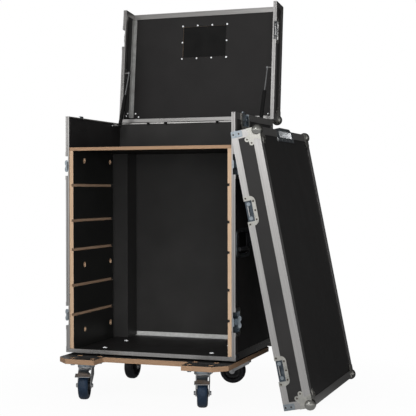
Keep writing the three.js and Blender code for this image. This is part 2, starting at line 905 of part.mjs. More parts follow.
// Latch hooks and wings
for (const { name, frame } of latch_seats) {
  const hook_group = addGroup(whole, `latch_hook_slide_${name}`, frame);
  addMesh(hook_group, `latch_hook_${name}`, latchHook(), zinc);
  const wing_frame = frame.clone().multiply(new THREE.Matrix4().makeTranslation(0, wing_pivot, 0));
  const wing_group = addGroup(whole, `latch_wing_turn_${name}`, wing_frame);
  addMesh(wing_group, `latch_wing_${name}`, latchWing(), zinc);
}

// Recessed handles: a dish in the wall and a bail that hangs in it.
const bail_half = handle_opening_width / 2 - bail_end_clearance;

function handleDish() {
  const [x, y] = [handle_opening_width / 2, handle_opening_height / 2];
  const [outer_x, outer_y] = [x + latch_sheet, y + latch_sheet];
  const floor = -ply_inner + fit_gap;
  const face = fit_gap + latch_sheet;
  const flange = plate(roundedRectangle(handle_width, handle_height, handle_corner), fit_gap, face);
  const pan = block(-outer_x, outer_x, -outer_y, outer_y, floor, face - latch_sheet / 2);
  const hollow = block(-x, x, -y, y, floor + latch_sheet, face + cut_over);
  const bore = bail_pin_diameter + 2 * bore_clearance;
  const pin_hole = crossBar(-outer_x - cut_over, outer_x + cut_over, bail_pivot_rise, -bail_pin_depth, bore);
  return cut(join(flange, pan), hollow, pin_hole);
}

// The bail, drawn about its pins.
function handleBail() {
  const half_thick = bail_arm_thickness / 2;
  const arms = [-1, 1].map((side) => {
    const inner = side * (bail_half - bail_arm_width);
    const tip = side * (handle_opening_width / 2 + latch_sheet / 2);
    const arm = block(inner, side * bail_half, -bail_drop, bail_pin_diameter / 2, -half_thick, half_thick);
    return join(arm, crossBar(inner, tip, 0, 0, bail_pin_diameter, 8));
  });
  const grip_rise = bail_grip_diameter / 2 - half_thick;
  return join(arms, crossBar(-bail_half, bail_half, -bail_drop, grip_rise, bail_grip_diameter, 12));
}

for (const { name, frame } of handle_seats) {
  const dish_group = addGroup(whole, `handle_seat_${name}`, frame);
  addMesh(dish_group, `handle_dish_${name}`, handleDish(), zinc);
  const pin_place = new THREE.Matrix4().makeTranslation(0, bail_pivot_rise, -bail_pin_depth);
  const pin_frame = frame.clone().multiply(pin_place);
  const bail_group = addGroup(whole, `handle_pin_${name}`, pin_frame);
  addMesh(bail_group, `handle_bail_${name}`, handleBail(), black_steel);
}

// Lid, drawn closed about the hinge pin: Y runs forwards as negative, Z up from the rim.

const lid_front = -hinge_back;
const lid_back = -hinge_set;
const lid_rim_level = fit_gap;
const lid_panel_under = lid_height - ply_inner;
const lid_turn = new THREE.Matrix4().makeRotationX(THREE.MathUtils.degToRad(-rest_lid_angle));
const lid_place = new THREE.Matrix4().makeTranslation(0, hinge_back, case_height).multiply(lid_turn);
const lid = addGroup(whole, "lid_hinge", lid_place);

const lid_wall_low = lid_rim_level + rim_web + fit_gap;
const lid_wall_high = lid_panel_under - fit_gap;
const lid_board_half = half_width - ply_outer;
const lid_board_front = lid_front + rim_web + fit_gap;
const lid_keeper_y = lid_front + latch_top_back;
const lid_keeper_seats = sides.map(({ sign }) => lidRimFrame(sign, lid_keeper_y, lid_rim_level));
sides.forEach(({ name, sign }, i) => {
  const board = block(
    sign * wall_inner_x, sign * lid_board_half, lid_board_front, lid_back - ply_inner - fit_gap,
    lid_wall_low, lid_wall_high,
  );
  const pocket = placed(panPocket(keeper_recess_reach), lid_keeper_seats[i]);
  addMesh(lid, `lid_${name}_wall`, cut(board, pocket), black_ply);
});
addMesh(
  lid, "lid_rear_wall",
  block(
    -lid_board_half, lid_board_half, lid_back - ply_inner, lid_back - ply_outer,
    lid_wall_low, lid_wall_high,
  ),
  black_ply,
);

function labelPocket(clearance, level) {
  const [x, y] = [label_opening_width / 2 + clearance, label_opening_height / 2 + clearance];
  return block(-x, x, -label_from_hinge - y, -label_from_hinge + y, level, lid_height + cut_over);
}

addMesh(
  lid, "lid_panel",
  cut(
    block(
      -lid_board_half, lid_board_half, lid_board_front, lid_back - ply_outer,
      lid_panel_under, lid_height - ply_outer,
    ),
    labelPocket(latch_sheet + fit_gap, lid_panel_under - cut_over),
  ),
  black_ply,
);

// The label dish: a shallow pan in the panel, open above.
function labelDish() {
  const under = lid_height - ply_outer + fit_gap;
  const floor = under - label_recess;
  const flange = placed(
    plate(roundedRectangle(label_width, label_height, label_corner), under, under + latch_sheet),
    new THREE.Matrix4().makeTranslation(0, -label_from_hinge, 0),
  );
  const above = block(
    -label_width, label_width, lid_front, 0, under + latch_sheet / 2, lid_height + 2 * cut_over,
  );
  const pan = cut(labelPocket(latch_sheet, floor - latch_sheet), above);
  return cut(join(flange, pan), labelPocket(0, floor));
}
addMesh(lid, "lid_label_dish", labelDish(), black_steel);

// The lid's rim: side and rear rails with a tongue, and an arch round the open front.
const lid_low_path = [
  [half_width, lid_front], [half_width, lid_back], [-half_width, lid_back], [-half_width, lid_front],
];
const lid_arch_path = [
  [half_width, lid_rim_level], [half_width, lid_height], [-half_width, lid_height],
  [-half_width, lid_rim_level],
];
const lid_low_frame = placed(
  mitredFrame(rimSection(true, lid_lip_depth), lid_low_path),
  frameAt(axis.x, axis.y, axis.z, 0, 0, lid_rim_level),
);
const lid_arch = placed(
  mitredFrame(rimSection(false, lid_lip_depth), lid_arch_path),
  frameAt(axis.x, axis.z, axis.y, 0, lid_front, 0),
);
// The rear rail has no tongue, because it would bind close to the hinge, and the side rails' tongues
// start behind the front profile, whose groove crosses their ends.
const no_tongue = [
  block(-half_width, half_width, lid_back - 2 * rim_face, 0, -groove_depth, lid_rim_level),
  block(-half_width, half_width, lid_front - cut_over, lid_front + rim_web, -groove_depth, lid_rim_level),
  ...lid_keeper_seats.map((seat) => placed(tongueGap(), seat)),
];
const head_plate_low = lid_rim_level + rim_web - strut_head_rise;
const head_brackets = sides.map(({ sign }) =>
  placed(
    studBracket(sign, strut_eye_thickness / 2 + stud_clearance, head_plate_low, stud_plate_height),
    frameAt(axis.x, axis.y, axis.z, sign * strut_x, -strut_head_from_hinge, strut_head_rise),
  ),
);
const hinge_upper = [-1, 1].map((side) =>
  placed(hingeHalf(1), frameAt(axis.x, axis.y, axis.z.clone().negate(), side * hinge_offset, 0, 0)),
);
const lid_frame = join(cut(lid_low_frame, no_tongue), lid_arch);
const lid_rails = fitPans(lid_frame, lid_keeper_seats, keeper_recess_reach, keeperPan());
addMesh(lid, "lid_rim", join(lid_rails, head_brackets, hinge_upper), aluminium);

const lid_edge_start = lid_front + side_start;
const lid_edge_path = [
  [half_width, lid_edge_start], [half_width, lid_back], [-half_width, lid_back],
  [-half_width, lid_edge_start],
];
const lid_upright_start = lid_rim_level + rim_leg + fit_gap;
addMesh(
  lid, "lid_edges",
  join(
    placed(
      mitredFrame(angle_section, lid_edge_path),
      frameAt(axis.x, axis.y, axis.z.clone().negate(), 0, 0, lid_height),
    ),
    sides.map(({ sign }) => uprightAngle(sign, lid_upright_start, lid_height, lid_back)),
    sides.map(({ sign }) => cornerAt(sign * half_width, lid_back, lid_height, -sign, -1, -1)),
  ),
  aluminium,
);

// Gas struts: the cylinder turns on the case's stud, and the rod slides in it.
function strutPoint(angle) {
  const turn = THREE.MathUtils.degToRad(angle);
  const [s, t] = [strut_head_from_hinge, strut_head_rise];
  return {
    y: hinge_back - s * Math.cos(turn) + t * Math.sin(turn),
    z: case_height + s * Math.sin(turn) + t * Math.cos(turn),
  };
}

function strutState(angle) {
  const head = strutPoint(angle);
  const [dy, dz] = [head.y - strut_foot.y, head.z - strut_foot.z];
  return { length: Math.hypot(dy, dz), lean: Math.atan2(dy, dz) };
}

const strut_open = strutState(rest_lid_angle);
const strut_travel = strut_open.length - strutState(0).length;
const strut_body_start = strut_eye_diameter / 2 + stud_clearance;
const strut_body_end = strut_body_start + strut_body_length;

function strutEye(height) {
  const half = strut_eye_thickness / 2;
  return crossBar(-half, half, 0, height, strut_eye_diameter);
}

function strutBody() {
  const tube = bar(0, 0, strut_body_start, strut_body_end, strut_diameter, 14);
  const neck = bar(0, 0, 0, strut_body_start + cut_over, strut_eye_thickness, 8);
  const stud_bore = crossBar(
    -strut_eye_thickness, strut_eye_thickness, 0, 0, stud_diameter + 2 * stud_clearance,
  );
  const rod_bore = bar(
    0, 0, strut_bore_start, strut_body_end + cut_over, strut_rod_diameter + 2 * stud_clearance, 10,
  );
  return cut(join(strutEye(0), neck, tube), stud_bore, rod_bore);
}

function strutRod() {
  const start = strut_bore_start + strut_travel + cut_over;
  const end = strut_open.length;
  return join(strutEye(end), bar(0, 0, start, end, strut_rod_diameter, 10));
}

for (const { name, sign } of sides) {
  const lean = new THREE.Matrix4().makeRotationX(-strut_open.lean);
  const foot = new THREE.Matrix4().makeTranslation(sign * strut_x, strut_foot.y, strut_foot.z);
  const strut = addGroup(whole, `strut_pivot_${name}`, foot.multiply(lean));
  addMesh(strut, `strut_body_${name}`, strutBody(), black_steel);
  addMesh(strut, `strut_rod_${name}`, strutRod(), steel_rod);
}

// Front cover, drawn upright with its rim at Y = 0 and its panel to the front.
const cover_height = case_height + lid_height;
const cover_outline = [
  [-half_width, 0], [half_width, 0], [half_width, cover_height], [-half_width, cover_height],
];
const cover_lean = THREE.MathUtils.degToRad(rest_cover_lean);
const cover_up = new THREE.Vector3(-Math.sin(cover_lean), 0, Math.cos(cover_lean));
const cover_out = new THREE.Vector3(Math.cos(cover_lean), 0, Math.sin(cover_lean));
const floor_level = -board_gap - board_thickness - castor_height;
const cover_foot_x = half_width + cover_edge_gap + cover_height * Math.sin(cover_lean);
const cover_middle = half_width - cover_front_over;
const cover = addGroup(
  whole, "cover_pull",
  frameAt(axis.y, cover_out.clone().negate(), cover_up, cover_foot_x, cover_middle, floor_level),
);
const cover_rise = frameAt(axis.x, axis.z, axis.y.clone().negate(), 0, 0, 0);
const cover_drop = frameAt(axis.x, axis.z.clone().negate(), axis.y, 0, 0, 0);

// The hollow behind the grip's opening, up to a level.
function gripSpace(clearance, level) {
  const x = grip_opening_width / 2 + clearance;
  const far = -cover_depth + grip_opening_depth + clearance;
  return block(-x, x, -cover_depth - cut_over, far, cover_height - grip_opening_low - clearance, level);
}

const cover_wall_start = rim_web + fit_gap;
const cover_wall_end = cover_depth - ply_inner - fit_gap;
const cover_wall_section = [
  [ply_outer, cover_wall_start], [ply_inner, cover_wall_start],
  [ply_inner, cover_wall_end], [ply_outer, cover_wall_end],
];
const cover_keeper_seats = sides.flatMap(({ sign }) =>
  [latch_low, latch_high].map((height) =>
    frameAt(
      axis.z.clone().multiplyScalar(sign), axis.y.clone().negate(), axis.x.clone().multiplyScalar(sign),
      sign * half_width, 0, height,
    ),
  ),
);
addMesh(
  cover, "cover_walls",
  cut(
    placed(mitredFrame(cover_wall_section, cover_outline, true), cover_rise),
    cover_keeper_seats.map((seat) => placed(panPocket(keeper_recess_reach), seat)),
    gripSpace(latch_sheet + fit_gap, cover_height + cut_over),
  ),
  black_ply,
);
const cover_board_half = half_width - ply_outer;
addMesh(
  cover, "cover_panel",
  cut(
    block(
      -cover_board_half, cover_board_half, -cover_depth + ply_outer, -cover_depth + ply_inner,
      ply_outer, cover_height - ply_outer,
    ),
    gripSpace(latch_sheet + fit_gap, cover_height + cut_over),
  ),
  black_ply,
);
const cover_frame = cut(
  placed(mitredFrame(rimSection(true, rim_lip_depth), cover_outline, true), cover_rise),
  cover_keeper_seats.map((seat) => placed(tongueGap(), seat)),
);
const cover_rails = fitPans(cover_frame, cover_keeper_seats, keeper_recess_reach, keeperPan());
addMesh(cover, "cover_rim", cover_rails, aluminium);

// The edge grip: flanges on the panel and on the top, a pan behind the opening in the panel, and a
// bead on the top, which gives the fingers room.
function edgeGrip() {
  const half = grip_width / 2;
  const outer = grip_opening_width / 2 + latch_sheet;
  const [front, roof] = [-cover_depth, cover_height];
  const reach = grip_opening_depth + latch_sheet;
  const face = block(-half, half, front, front + profile_wall, roof - grip_face_reach, roof);
  const top = block(-half, half, front, front + grip_side_reach, roof - profile_wall, roof);
  const pan = block(-outer, outer, front, front + reach, roof - grip_opening_low - latch_sheet, roof);
  const [bead_top, shoulder] = [roof + grip_bead_rise, outer - grip_bead_depth];
  const bead = new THREE.Shape();
  bead.moveTo(-outer, roof - profile_wall);
  bead.lineTo(outer, roof - profile_wall);
  bead.lineTo(outer, roof);
  bead.quadraticCurveTo(outer - grip_bead_rise, bead_top, shoulder, bead_top);
  bead.lineTo(-shoulder, bead_top);
  bead.quadraticCurveTo(grip_bead_rise - outer, bead_top, -outer, roof);
  const raised = placed(plate(bead, -front - grip_bead_depth, -front), cover_rise);
  return cut(join(face, top, pan, raised), gripSpace(0, roof - grip_opening_top));
}
addMesh(cover, "cover_edge_grip", edgeGrip(), zinc);

const grip_end = grip_width / 2 + fit_gap;
const cover_edge_path = [
  [-grip_end, cover_height], [-half_width, cover_height], [-half_width, 0],
  [half_width, 0], [half_width, cover_height], [grip_end, cover_height],
];
addMesh(
  cover, "cover_edges",
  join(
    placed(
      mitredFrame(angle_section, cover_edge_path),
      frameAt(axis.x, axis.z, axis.y, 0, -cover_depth, 0),
    ),
    sides.flatMap(({ sign }) => [
      placed(uprightAngle(sign, side_start, cover_depth, cover_height), cover_rise),
      placed(uprightAngle(sign, -cover_depth, -side_start, 0), cover_drop),
      cornerAt(sign * half_width, -cover_depth, 0, -sign, 1, 1),
      cornerAt(sign * half_width, -cover_depth, cover_height, -sign, 1, -1),
    ]),
  ),
  aluminium,
);

// Castor board, with spacers under the case and the castors' plates below

const board_top = -board_gap;
const board_under = board_top - board_thickness;
const board_back = case_depth;
const castor_places = [
  { name: "front_left", x: -castor_offset, y: tab_front + castor_from_edge },
  { name: "front_right", x: castor_offset, y: tab_front + castor_from_edge },
  { name: "rear_left", x: -castor_offset, y: board_back - castor_from_edge },
  { name: "rear_right", x: castor_offset, y: board_back - castor_from_edge },
];

function boardOutline() {
  const half = board_width / 2;
  const outline = new THREE.Shape();
  outline.moveTo(-half, tab_front + tab_chamfer);
  outline.lineTo(-half + tab_chamfer, tab_front);
  outline.lineTo(-tab_inner, tab_front);
  outline.lineTo(-tab_inner, board_front - tab_fillet);
  outline.absarc(-tab_inner + tab_fillet, board_front - tab_fillet, tab_fillet, Math.PI, Math.PI / 2, true);
  outline.lineTo(tab_inner - tab_fillet, board_front);
  outline.absarc(tab_inner - tab_fillet, board_front - tab_fillet, tab_fillet, Math.PI / 2, 0, true);
  outline.lineTo(tab_inner, tab_front);
  outline.lineTo(half - tab_chamfer, tab_front);
  outline.lineTo(half, tab_front + tab_chamfer);
  outline.lineTo(half, board_back - tab_chamfer);
  outline.lineTo(half - tab_chamfer, board_back);
  outline.lineTo(-half + tab_chamfer, board_back);
  outline.lineTo(-half, board_back - tab_chamfer);
  return outline;
}

function castorBoard() {
  const board = plate(boardOutline(), board_under, board_top);
  const bores = [];
  const fittings = [];
  for (const { x, y } of castor_places) {
    const [half_x, half_y] = [castor_plate_width / 2, castor_plate_depth / 2];
    const plate_low = board_under - castor_plate_thickness;
    const flange = block(x - half_x, x + half_x, y - half_y, y + half_y, plate_low, board_under + fit_gap);
    const race = bar(x, y, plate_low - race_height, plate_low + fit_gap, race_diameter);
    fittings.push(flange, race);
    const bore_floor = board_top - castor_counterbore_depth;
    for (const [across, along] of [[-1, -1], [-1, 1], [1, -1], [1, 1]]) {
      const bolt_x = x + (across * castor_bolt_width) / 2;
      const bolt_y = y + (along * castor_bolt_depth) / 2;
      bores.push(bar(bolt_x, bolt_y, bore_floor, board_top + cut_over, castor_counterbore, 8));
    }
  }
  const spacer_top = ply_outer - fit_gap;
  for (const side of [-1, 1]) {
    for (const back of [spacer_front_back, spacer_rear_back]) {
      fittings.push(bar(side * spacer_offset, back, board_top - fit_gap, spacer_top, spacer_diameter, 10));
    }
  }
  return join(cut(board, bores), fittings);
}
addMesh(whole, "castor_board", castorBoard(), birch_ply);

// A castor, drawn about its kingpin at the board's underside, trailing to the front.
const castor_top = -castor_plate_thickness - race_height - fit_gap;
const axle_height = -castor_height + wheel_diameter / 2;

// A solid drawn as an outline in Y and Z, between two planes of X.
function acrossX(outline, x0, x1) {
  return placed(plate(outline, x0, x1), frameAt(axis.y, axis.z, axis.x, 0, 0, 0));
}

function castorFork() {
  const low = castor_top - fork_crown_height;
  const crown = bar(0, 0, low, castor_top, race_diameter);
  const outer = fork_half_gap + fork_wall;
  const back = race_diameter / 2 - fork_wall;
  const boss = axle_boss_diameter / 2;
  const leg_top = castor_top - fork_wall;
  const outline = new THREE.Shape();
  outline.moveTo(back, leg_top);
  outline.lineTo(-back, leg_top);
  outline.lineTo(-fork_trail - fork_wall, leg_top - fork_back_drop);
  outline.lineTo(-fork_trail - boss, axle_height);
  outline.absarc(-fork_trail, axle_height, boss, Math.PI, 2 * Math.PI);
  outline.lineTo(back, leg_top - fork_back_drop);
  const legs = [-1, 1].map((side) => acrossX(outline, side * fork_half_gap, side * outer));
  const roof = block(-outer, outer, -back, back, low, low + fork_wall);
  const nut_end = outer + axle_nut_height;
  const axle = crossBar(-nut_end, nut_end, -fork_trail, axle_height, axle_diameter);
  const nuts = [-1, 1].map((side) =>
    crossBar(side * (outer - fit_gap), side * nut_end, -fork_trail, axle_height, axle_nut_diameter, 6),
  );
  return join(crown, legs, roof, axle, nuts);
}

function wheelProfile() {
  const [radius, half, hub] = [wheel_diameter / 2, wheel_width / 2, wheel_hub_width / 2];
  const hub_radius = wheel_hub_diameter / 2;
  const bore = axle_diameter / 2 + bore_clearance;
  const web = wheel_web / 2;
  const rim = wheel_rim_diameter / 2;
  const shoulder = [0, 1, 2].map((step) => {
    const turn = (step / 2) * (Math.PI / 2);
    return [
      radius - wheel_shoulder * (1 - Math.cos(turn)),
      half - wheel_shoulder * (1 - Math.sin(turn)),
    ];
  });
  const upper = [
    ...shoulder, [rim, half], [rim, web], [hub_radius, web], [hub_radius, hub], [bore, hub],
  ];
  const lower = upper.map(([r, x]) => [r, -x]).reverse();
  return [...lower, ...upper];
}

function castorWheel() {
  const outline = wheelProfile().map(([r, x]) => new THREE.Vector2(r, x));
  outline.push(outline[0].clone());
  const geometry = new THREE.LatheGeometry(outline, 18);
  geometry.rotateZ(Math.PI / 2);
  return solid(geometry);
}

// The brake pedal, drawn about its own pin: a lever over the wheel with a wide toe.
const pedal_pin_y = -race_diameter / 2 + pedal_pin_diameter;
const pedal_pin_z = castor_top - fork_crown_height - pedal_pin_diameter / 2 - fit_gap;
function brakePedal() {
  const reach = pedal_reach + pedal_pin_y;
  const top = pedal_path_shares.map(([along, drop]) => [-along * reach, -drop * reach]);
  const strip = (run) => polygon([...run, ...run.map(([y, z]) => [y, z - pedal_thickness]).reverse()]);
  const lever = acrossX(strip(top.slice(0, 3)), -pedal_width / 2, pedal_width / 2);
  const toe = acrossX(strip(top.slice(2)), -pedal_toe_width / 2, pedal_toe_width / 2);
  const pin_end = fork_half_gap - fit_gap;
  const pin = crossBar(-pin_end, pin_end, 0, 0, pedal_pin_diameter, 8);
  return join(lever, toe, pin);
}

castor_places.forEach(({ name, x, y }, i) => {
  const turn = new THREE.Matrix4().makeRotationZ(THREE.MathUtils.degToRad(castor_turns[i]));
  const kingpin = new THREE.Matrix4().makeTranslation(x, y, board_under).multiply(turn);
  const castor = addGroup(whole, `castor_swivel_${name}`, kingpin);
  addMesh(castor, `castor_fork_${name}`, castorFork(), zinc);
  const axle = new THREE.Matrix4().makeTranslation(0, -fork_trail, axle_height);
  const wheel = addGroup(castor, `wheel_axle_${name}`, axle);
  addMesh(wheel, `castor_wheel_${name}`, castorWheel(), navy_rubber);
  if (name.startsWith("front")) {
    const pin = new THREE.Matrix4().makeTranslation(0, pedal_pin_y, pedal_pin_z);
    const pedal = addGroup(castor, `pedal_pin_${name}`, pin);
    addMesh(pedal, `brake_pedal_${name}`, brakePedal(), zinc);
  }
});

// The part's origin lies on the floor, in the middle of its outer box.
whole.updateMatrixWorld(true);
const bounds = new THREE.Box3().setFromObject(part, true);
const middle = bounds.getCenter(new THREE.Vector3());
whole.position.set(-middle.x, -middle.y, -bounds.min.z);

export default part;
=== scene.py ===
# %% [markdown]
# A road case is a plywood box on a castor board. Aluminium profiles hold its edges, and steel
# fittings are riveted on. The solid shapes come from the CAD frame. This lesson gives them soft
# edges and real finishes, and adds the small fasteners that the frame leaves out.

# %% Open the fixed frame
import json
import math

import bmesh
import bpy
from mathutils import Matrix, Vector

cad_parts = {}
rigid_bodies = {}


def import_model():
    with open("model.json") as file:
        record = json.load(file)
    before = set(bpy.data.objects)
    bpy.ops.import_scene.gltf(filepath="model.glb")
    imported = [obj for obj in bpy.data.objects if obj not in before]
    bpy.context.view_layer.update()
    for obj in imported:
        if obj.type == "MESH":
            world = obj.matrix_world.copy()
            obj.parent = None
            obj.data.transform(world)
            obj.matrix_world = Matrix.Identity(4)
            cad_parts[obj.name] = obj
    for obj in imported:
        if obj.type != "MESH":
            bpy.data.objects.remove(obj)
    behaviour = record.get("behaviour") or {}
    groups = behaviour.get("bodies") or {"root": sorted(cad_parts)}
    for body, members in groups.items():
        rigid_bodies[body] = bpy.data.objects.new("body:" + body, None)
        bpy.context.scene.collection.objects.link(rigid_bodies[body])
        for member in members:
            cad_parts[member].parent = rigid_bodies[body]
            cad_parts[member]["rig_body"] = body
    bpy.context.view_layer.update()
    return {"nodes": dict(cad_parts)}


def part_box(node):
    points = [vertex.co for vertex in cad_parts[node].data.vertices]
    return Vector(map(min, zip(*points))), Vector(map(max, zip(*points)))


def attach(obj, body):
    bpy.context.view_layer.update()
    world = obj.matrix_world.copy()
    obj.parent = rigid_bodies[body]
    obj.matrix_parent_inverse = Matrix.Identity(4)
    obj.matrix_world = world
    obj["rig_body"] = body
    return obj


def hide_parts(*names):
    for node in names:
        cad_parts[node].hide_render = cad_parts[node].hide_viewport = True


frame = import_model()
scene = bpy.context.scene
print("solids in the frame:", len(frame["nodes"]))

# %% [markdown]
# Every place in this lesson is measured in millimetres from the case's own corner lines: X from
# the middle, Y from the front rim, Z from the underside. The lid and the cover have frames of
# their own, so that a rivet is placed on them as if they lay flat. Each frame is a matrix that
# also turns millimetres into metres.

# %% Frames for the case, the lid and the cover
MM = 0.001
case_width = 660
case_depth = 472
case_height = 873
lid_height = 96
cover_depth = 102
cover_height = case_height + lid_height
half_width = case_width / 2
hinge_set = 4.4  # from the case's back to the lid's hinge line
hinge_back = case_depth + hinge_set
lid_angle = 96.1
cover_lean = 11.35
cover_clear = 1.2  # from the case's side to the cover's upper edge
cover_forward = 55  # how far the cover stands out in front of the case
ground_level = -152
shelf_front = 3
sheet_gap = 1.8
wall_inner = 10.8  # from an outer face to the inside of the plywood

shelf_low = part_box("divider_shelf")[0]
floor_low, floor_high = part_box("floor_panel")
middle_x = (floor_low.x + floor_high.x) / 2
case_corner = Vector((middle_x, shelf_low.y - shelf_front * MM, floor_low.z - sheet_gap * MM))
CASE = Matrix.Translation(case_corner) @ Matrix.Scale(MM, 4)
lid_turn = Matrix.Rotation(math.radians(-lid_angle), 4, "X")
LID = CASE @ Matrix.Translation((0, hinge_back, case_height)) @ lid_turn
lean = math.radians(cover_lean)
cover_foot = Vector((
    half_width + cover_clear + cover_height * math.sin(lean),
    half_width - cover_forward,
    ground_level,
))
cover_axes = Matrix((
    (0, -math.cos(lean), -math.sin(lean), cover_foot.x),
    (1, 0, 0, cover_foot.y),
    (0, -math.sin(lean), math.cos(lean), cover_foot.z),
    (0, 0, 0, 1),
))
COVER = CASE @ cover_axes
print("case corner, m:", [round(v, 4) for v in case_corner])

# %% [markdown]
# The camera stands where the photographer stood. Its place, turn and lens were worked out from
# the case's straight edges, which is the usual way to match a picture: parallel edges meet at
# vanishing points, and these fix the lens and the turn.

# %% Camera
camera_place = Vector((1506.88, -3571.75, 597.12))
camera_yaw = math.radians(19.69)
camera_pitch = math.radians(-0.911)
camera_roll = math.radians(-0.083)
sensor_mm = 36
picture_pixels = 416
lens_pixels = 1076.16
camera_data = bpy.data.cameras.new("camera")
camera_data.sensor_width = sensor_mm
camera_data.lens = sensor_mm * lens_pixels / picture_pixels
camera = bpy.data.objects.new("camera", camera_data)
scene.collection.objects.link(camera)
turn = Matrix.Rotation(camera_yaw, 4, "Z") @ Matrix.Rotation(math.pi / 2 + camera_pitch, 4, "X")
roll = Matrix.Rotation(camera_roll, 4, "Z")
camera.matrix_world = Matrix.Translation(CASE @ camera_place) @ turn @ roll
scene.camera = camera
print("camera at, m:", [round(v, 3) for v in camera.location])

# %% [markdown]
# A finish, and the studio too, is a small graph of nodes. These helpers each make one node and
# join it up. Noise is read in the object's own space, because that stays fixed to the piece when
# it moves. A stretched noise makes the fine lines of drawn aluminium.

# %% Helpers for node graphs
def finish(name, colour, roughness, metallic=0.0, specular=0.5):
    material = bpy.data.materials.new(name)
    material.use_nodes = True
    nodes, links = material.node_tree.nodes, material.node_tree.links
    shader = nodes["Principled BSDF"]
    shader.inputs["Base Color"].default_value = (*colour, 1)
    shader.inputs["Roughness"].default_value = roughness
    shader.inputs["Metallic"].default_value = metallic
    shader.inputs["Specular IOR Level"].default_value = specular
    return material, nodes, links, shader


def grain(nodes, links, scale, detail=3.0, turn=(0, 0, 0)):
    """Noise in object space, with its own scale along each axis."""
    place = nodes.new("ShaderNodeTexCoord")
    rotate = nodes.new("ShaderNodeMapping")
    rotate.inputs["Rotation"].default_value = turn
    stretch = nodes.new("ShaderNodeMapping")
    stretch.inputs["Scale"].default_value = scale
    noise = nodes.new("ShaderNodeTexNoise")
    noise.inputs["Scale"].default_value = 1.0
    noise.inputs["Detail"].default_value = detail
    links.new(place.outputs["Object"], rotate.inputs["Vector"])
    links.new(rotate.outputs["Vector"], stretch.inputs["Vector"])
    links.new(stretch.outputs["Vector"], noise.inputs["Vector"])
    return noise.outputs["Fac"]


def ramped(nodes, links, source, stops):
    """A colour for each value of the source, between stops of (position, colour)."""
    ramp = nodes.new("ShaderNodeValToRGB")
    while len(ramp.color_ramp.elements) < len(stops):
        ramp.color_ramp.elements.new(0.5)
    for element, (position, colour) in zip(ramp.color_ramp.elements, stops):
        element.position = position
        element.color = (*colour, 1)
    links.new(source, ramp.inputs[0])
    return ramp.outputs["Color"]


def ranged(nodes, links, source, source_ends, ends):
    """Turns one range of numbers into another, and holds it past both ends."""
    scale = nodes.new("ShaderNodeMapRange")
    for socket, value in zip(("From Min", "From Max", "To Min", "To Max"), (*source_ends, *ends)):
        scale.inputs[socket].default_value = value
    links.new(source, scale.inputs["Value"])
    return scale.outputs["Result"]


def bump_to(nodes, links, source, shader, strength, depth):
    bump = nodes.new("ShaderNodeBump")
    bump.inputs["Strength"].default_value = strength
    bump.inputs["Distance"].default_value = depth
    links.new(source, bump.inputs["Height"])
    links.new(bump.outputs["Normal"], shader.inputs["Normal"])


def maths(nodes, links, operation, first, second):
    node = nodes.new("ShaderNodeMath")
    node.operation = operation
    links.new(first, node.inputs[0])
    links.new(second, node.inputs[1])
    return node.outputs[0]


def mixed(nodes, links, share, first, second):
    """The first shader where the share is 0, and the second where it is 1."""
    node = nodes.new("ShaderNodeMixShader")
    for output, socket in zip((share, first, second), node.inputs):
        links.new(output, socket)
    return node.outputs[0]


def rays(nodes, links):
    """Which rays are mirrored, and which the camera sees, straight or through glass."""
    path = nodes.new("ShaderNodeLightPath").outputs
    seen = maths(nodes, links, "MAXIMUM", path["Is Camera Ray"], path["Is Transmission Ray"])
    return path["Is Glossy Ray"], seen


# %% [markdown]
# The studio is plain. Its surround has three looks. The camera sees white, which a Light Path
# node gives without more light on the object. The light itself is dim and even. Reflections see
# a room of their own, bright in front at eye level, darker above and dark behind, because metal
# only reads as metal when it mirrors light and dark.

# %% Surround
scene.view_settings.view_transform = "Standard"
world = bpy.data.worlds.new("studio")
scene.world = world
world.use_nodes = True
nodes, links = world.node_tree.nodes, world.node_tree.links
room = nodes["Background"]
room.inputs["Color"].default_value = (0.97, 0.98, 1.0, 1)
room.inputs["Strength"].default_value = 0.36
white = nodes.new("ShaderNodeBackground")
white.inputs["Color"].default_value = (1, 1, 1, 1)
gloss = nodes.new("ShaderNodeBackground")
gloss.inputs["Color"].default_value = (1, 0.99, 0.98, 1)
toward = nodes.new("ShaderNodeSeparateXYZ")
links.new(nodes.new("ShaderNodeTexCoord").outputs["Generated"], toward.inputs[0])
from_front = ranged(nodes, links, toward.outputs["Y"], (-0.7, 0.5), (1.0, 0.07))
room_greys = [(0.0, 0.9), (0.1, 1.0), (0.2, 0.42), (0.5, 0.32)]
height = ramped(nodes, links, toward.outputs["Z"], [(up, (grey,) * 3) for up, grey in room_greys])
links.new(maths(nodes, links, "MULTIPLY", from_front, height), gloss.inputs["Strength"])
glossy, seen = rays(nodes, links)
unseen = mixed(nodes, links, glossy, room.outputs[0], gloss.outputs[0])
surround = mixed(nodes, links, seen, unseen, white.outputs[0])
links.new(surround, nodes["World Output"].inputs["Surface"])
print("nodes in the surround:", len(nodes))

# %% [markdown]
# The floor is one pale sheet. What the camera sees of it is mostly plain white, a little less
# near the object, so that the shadow stays but is faint, as on a cut-out product picture.
# Reflections see it fade into the dark behind the object.

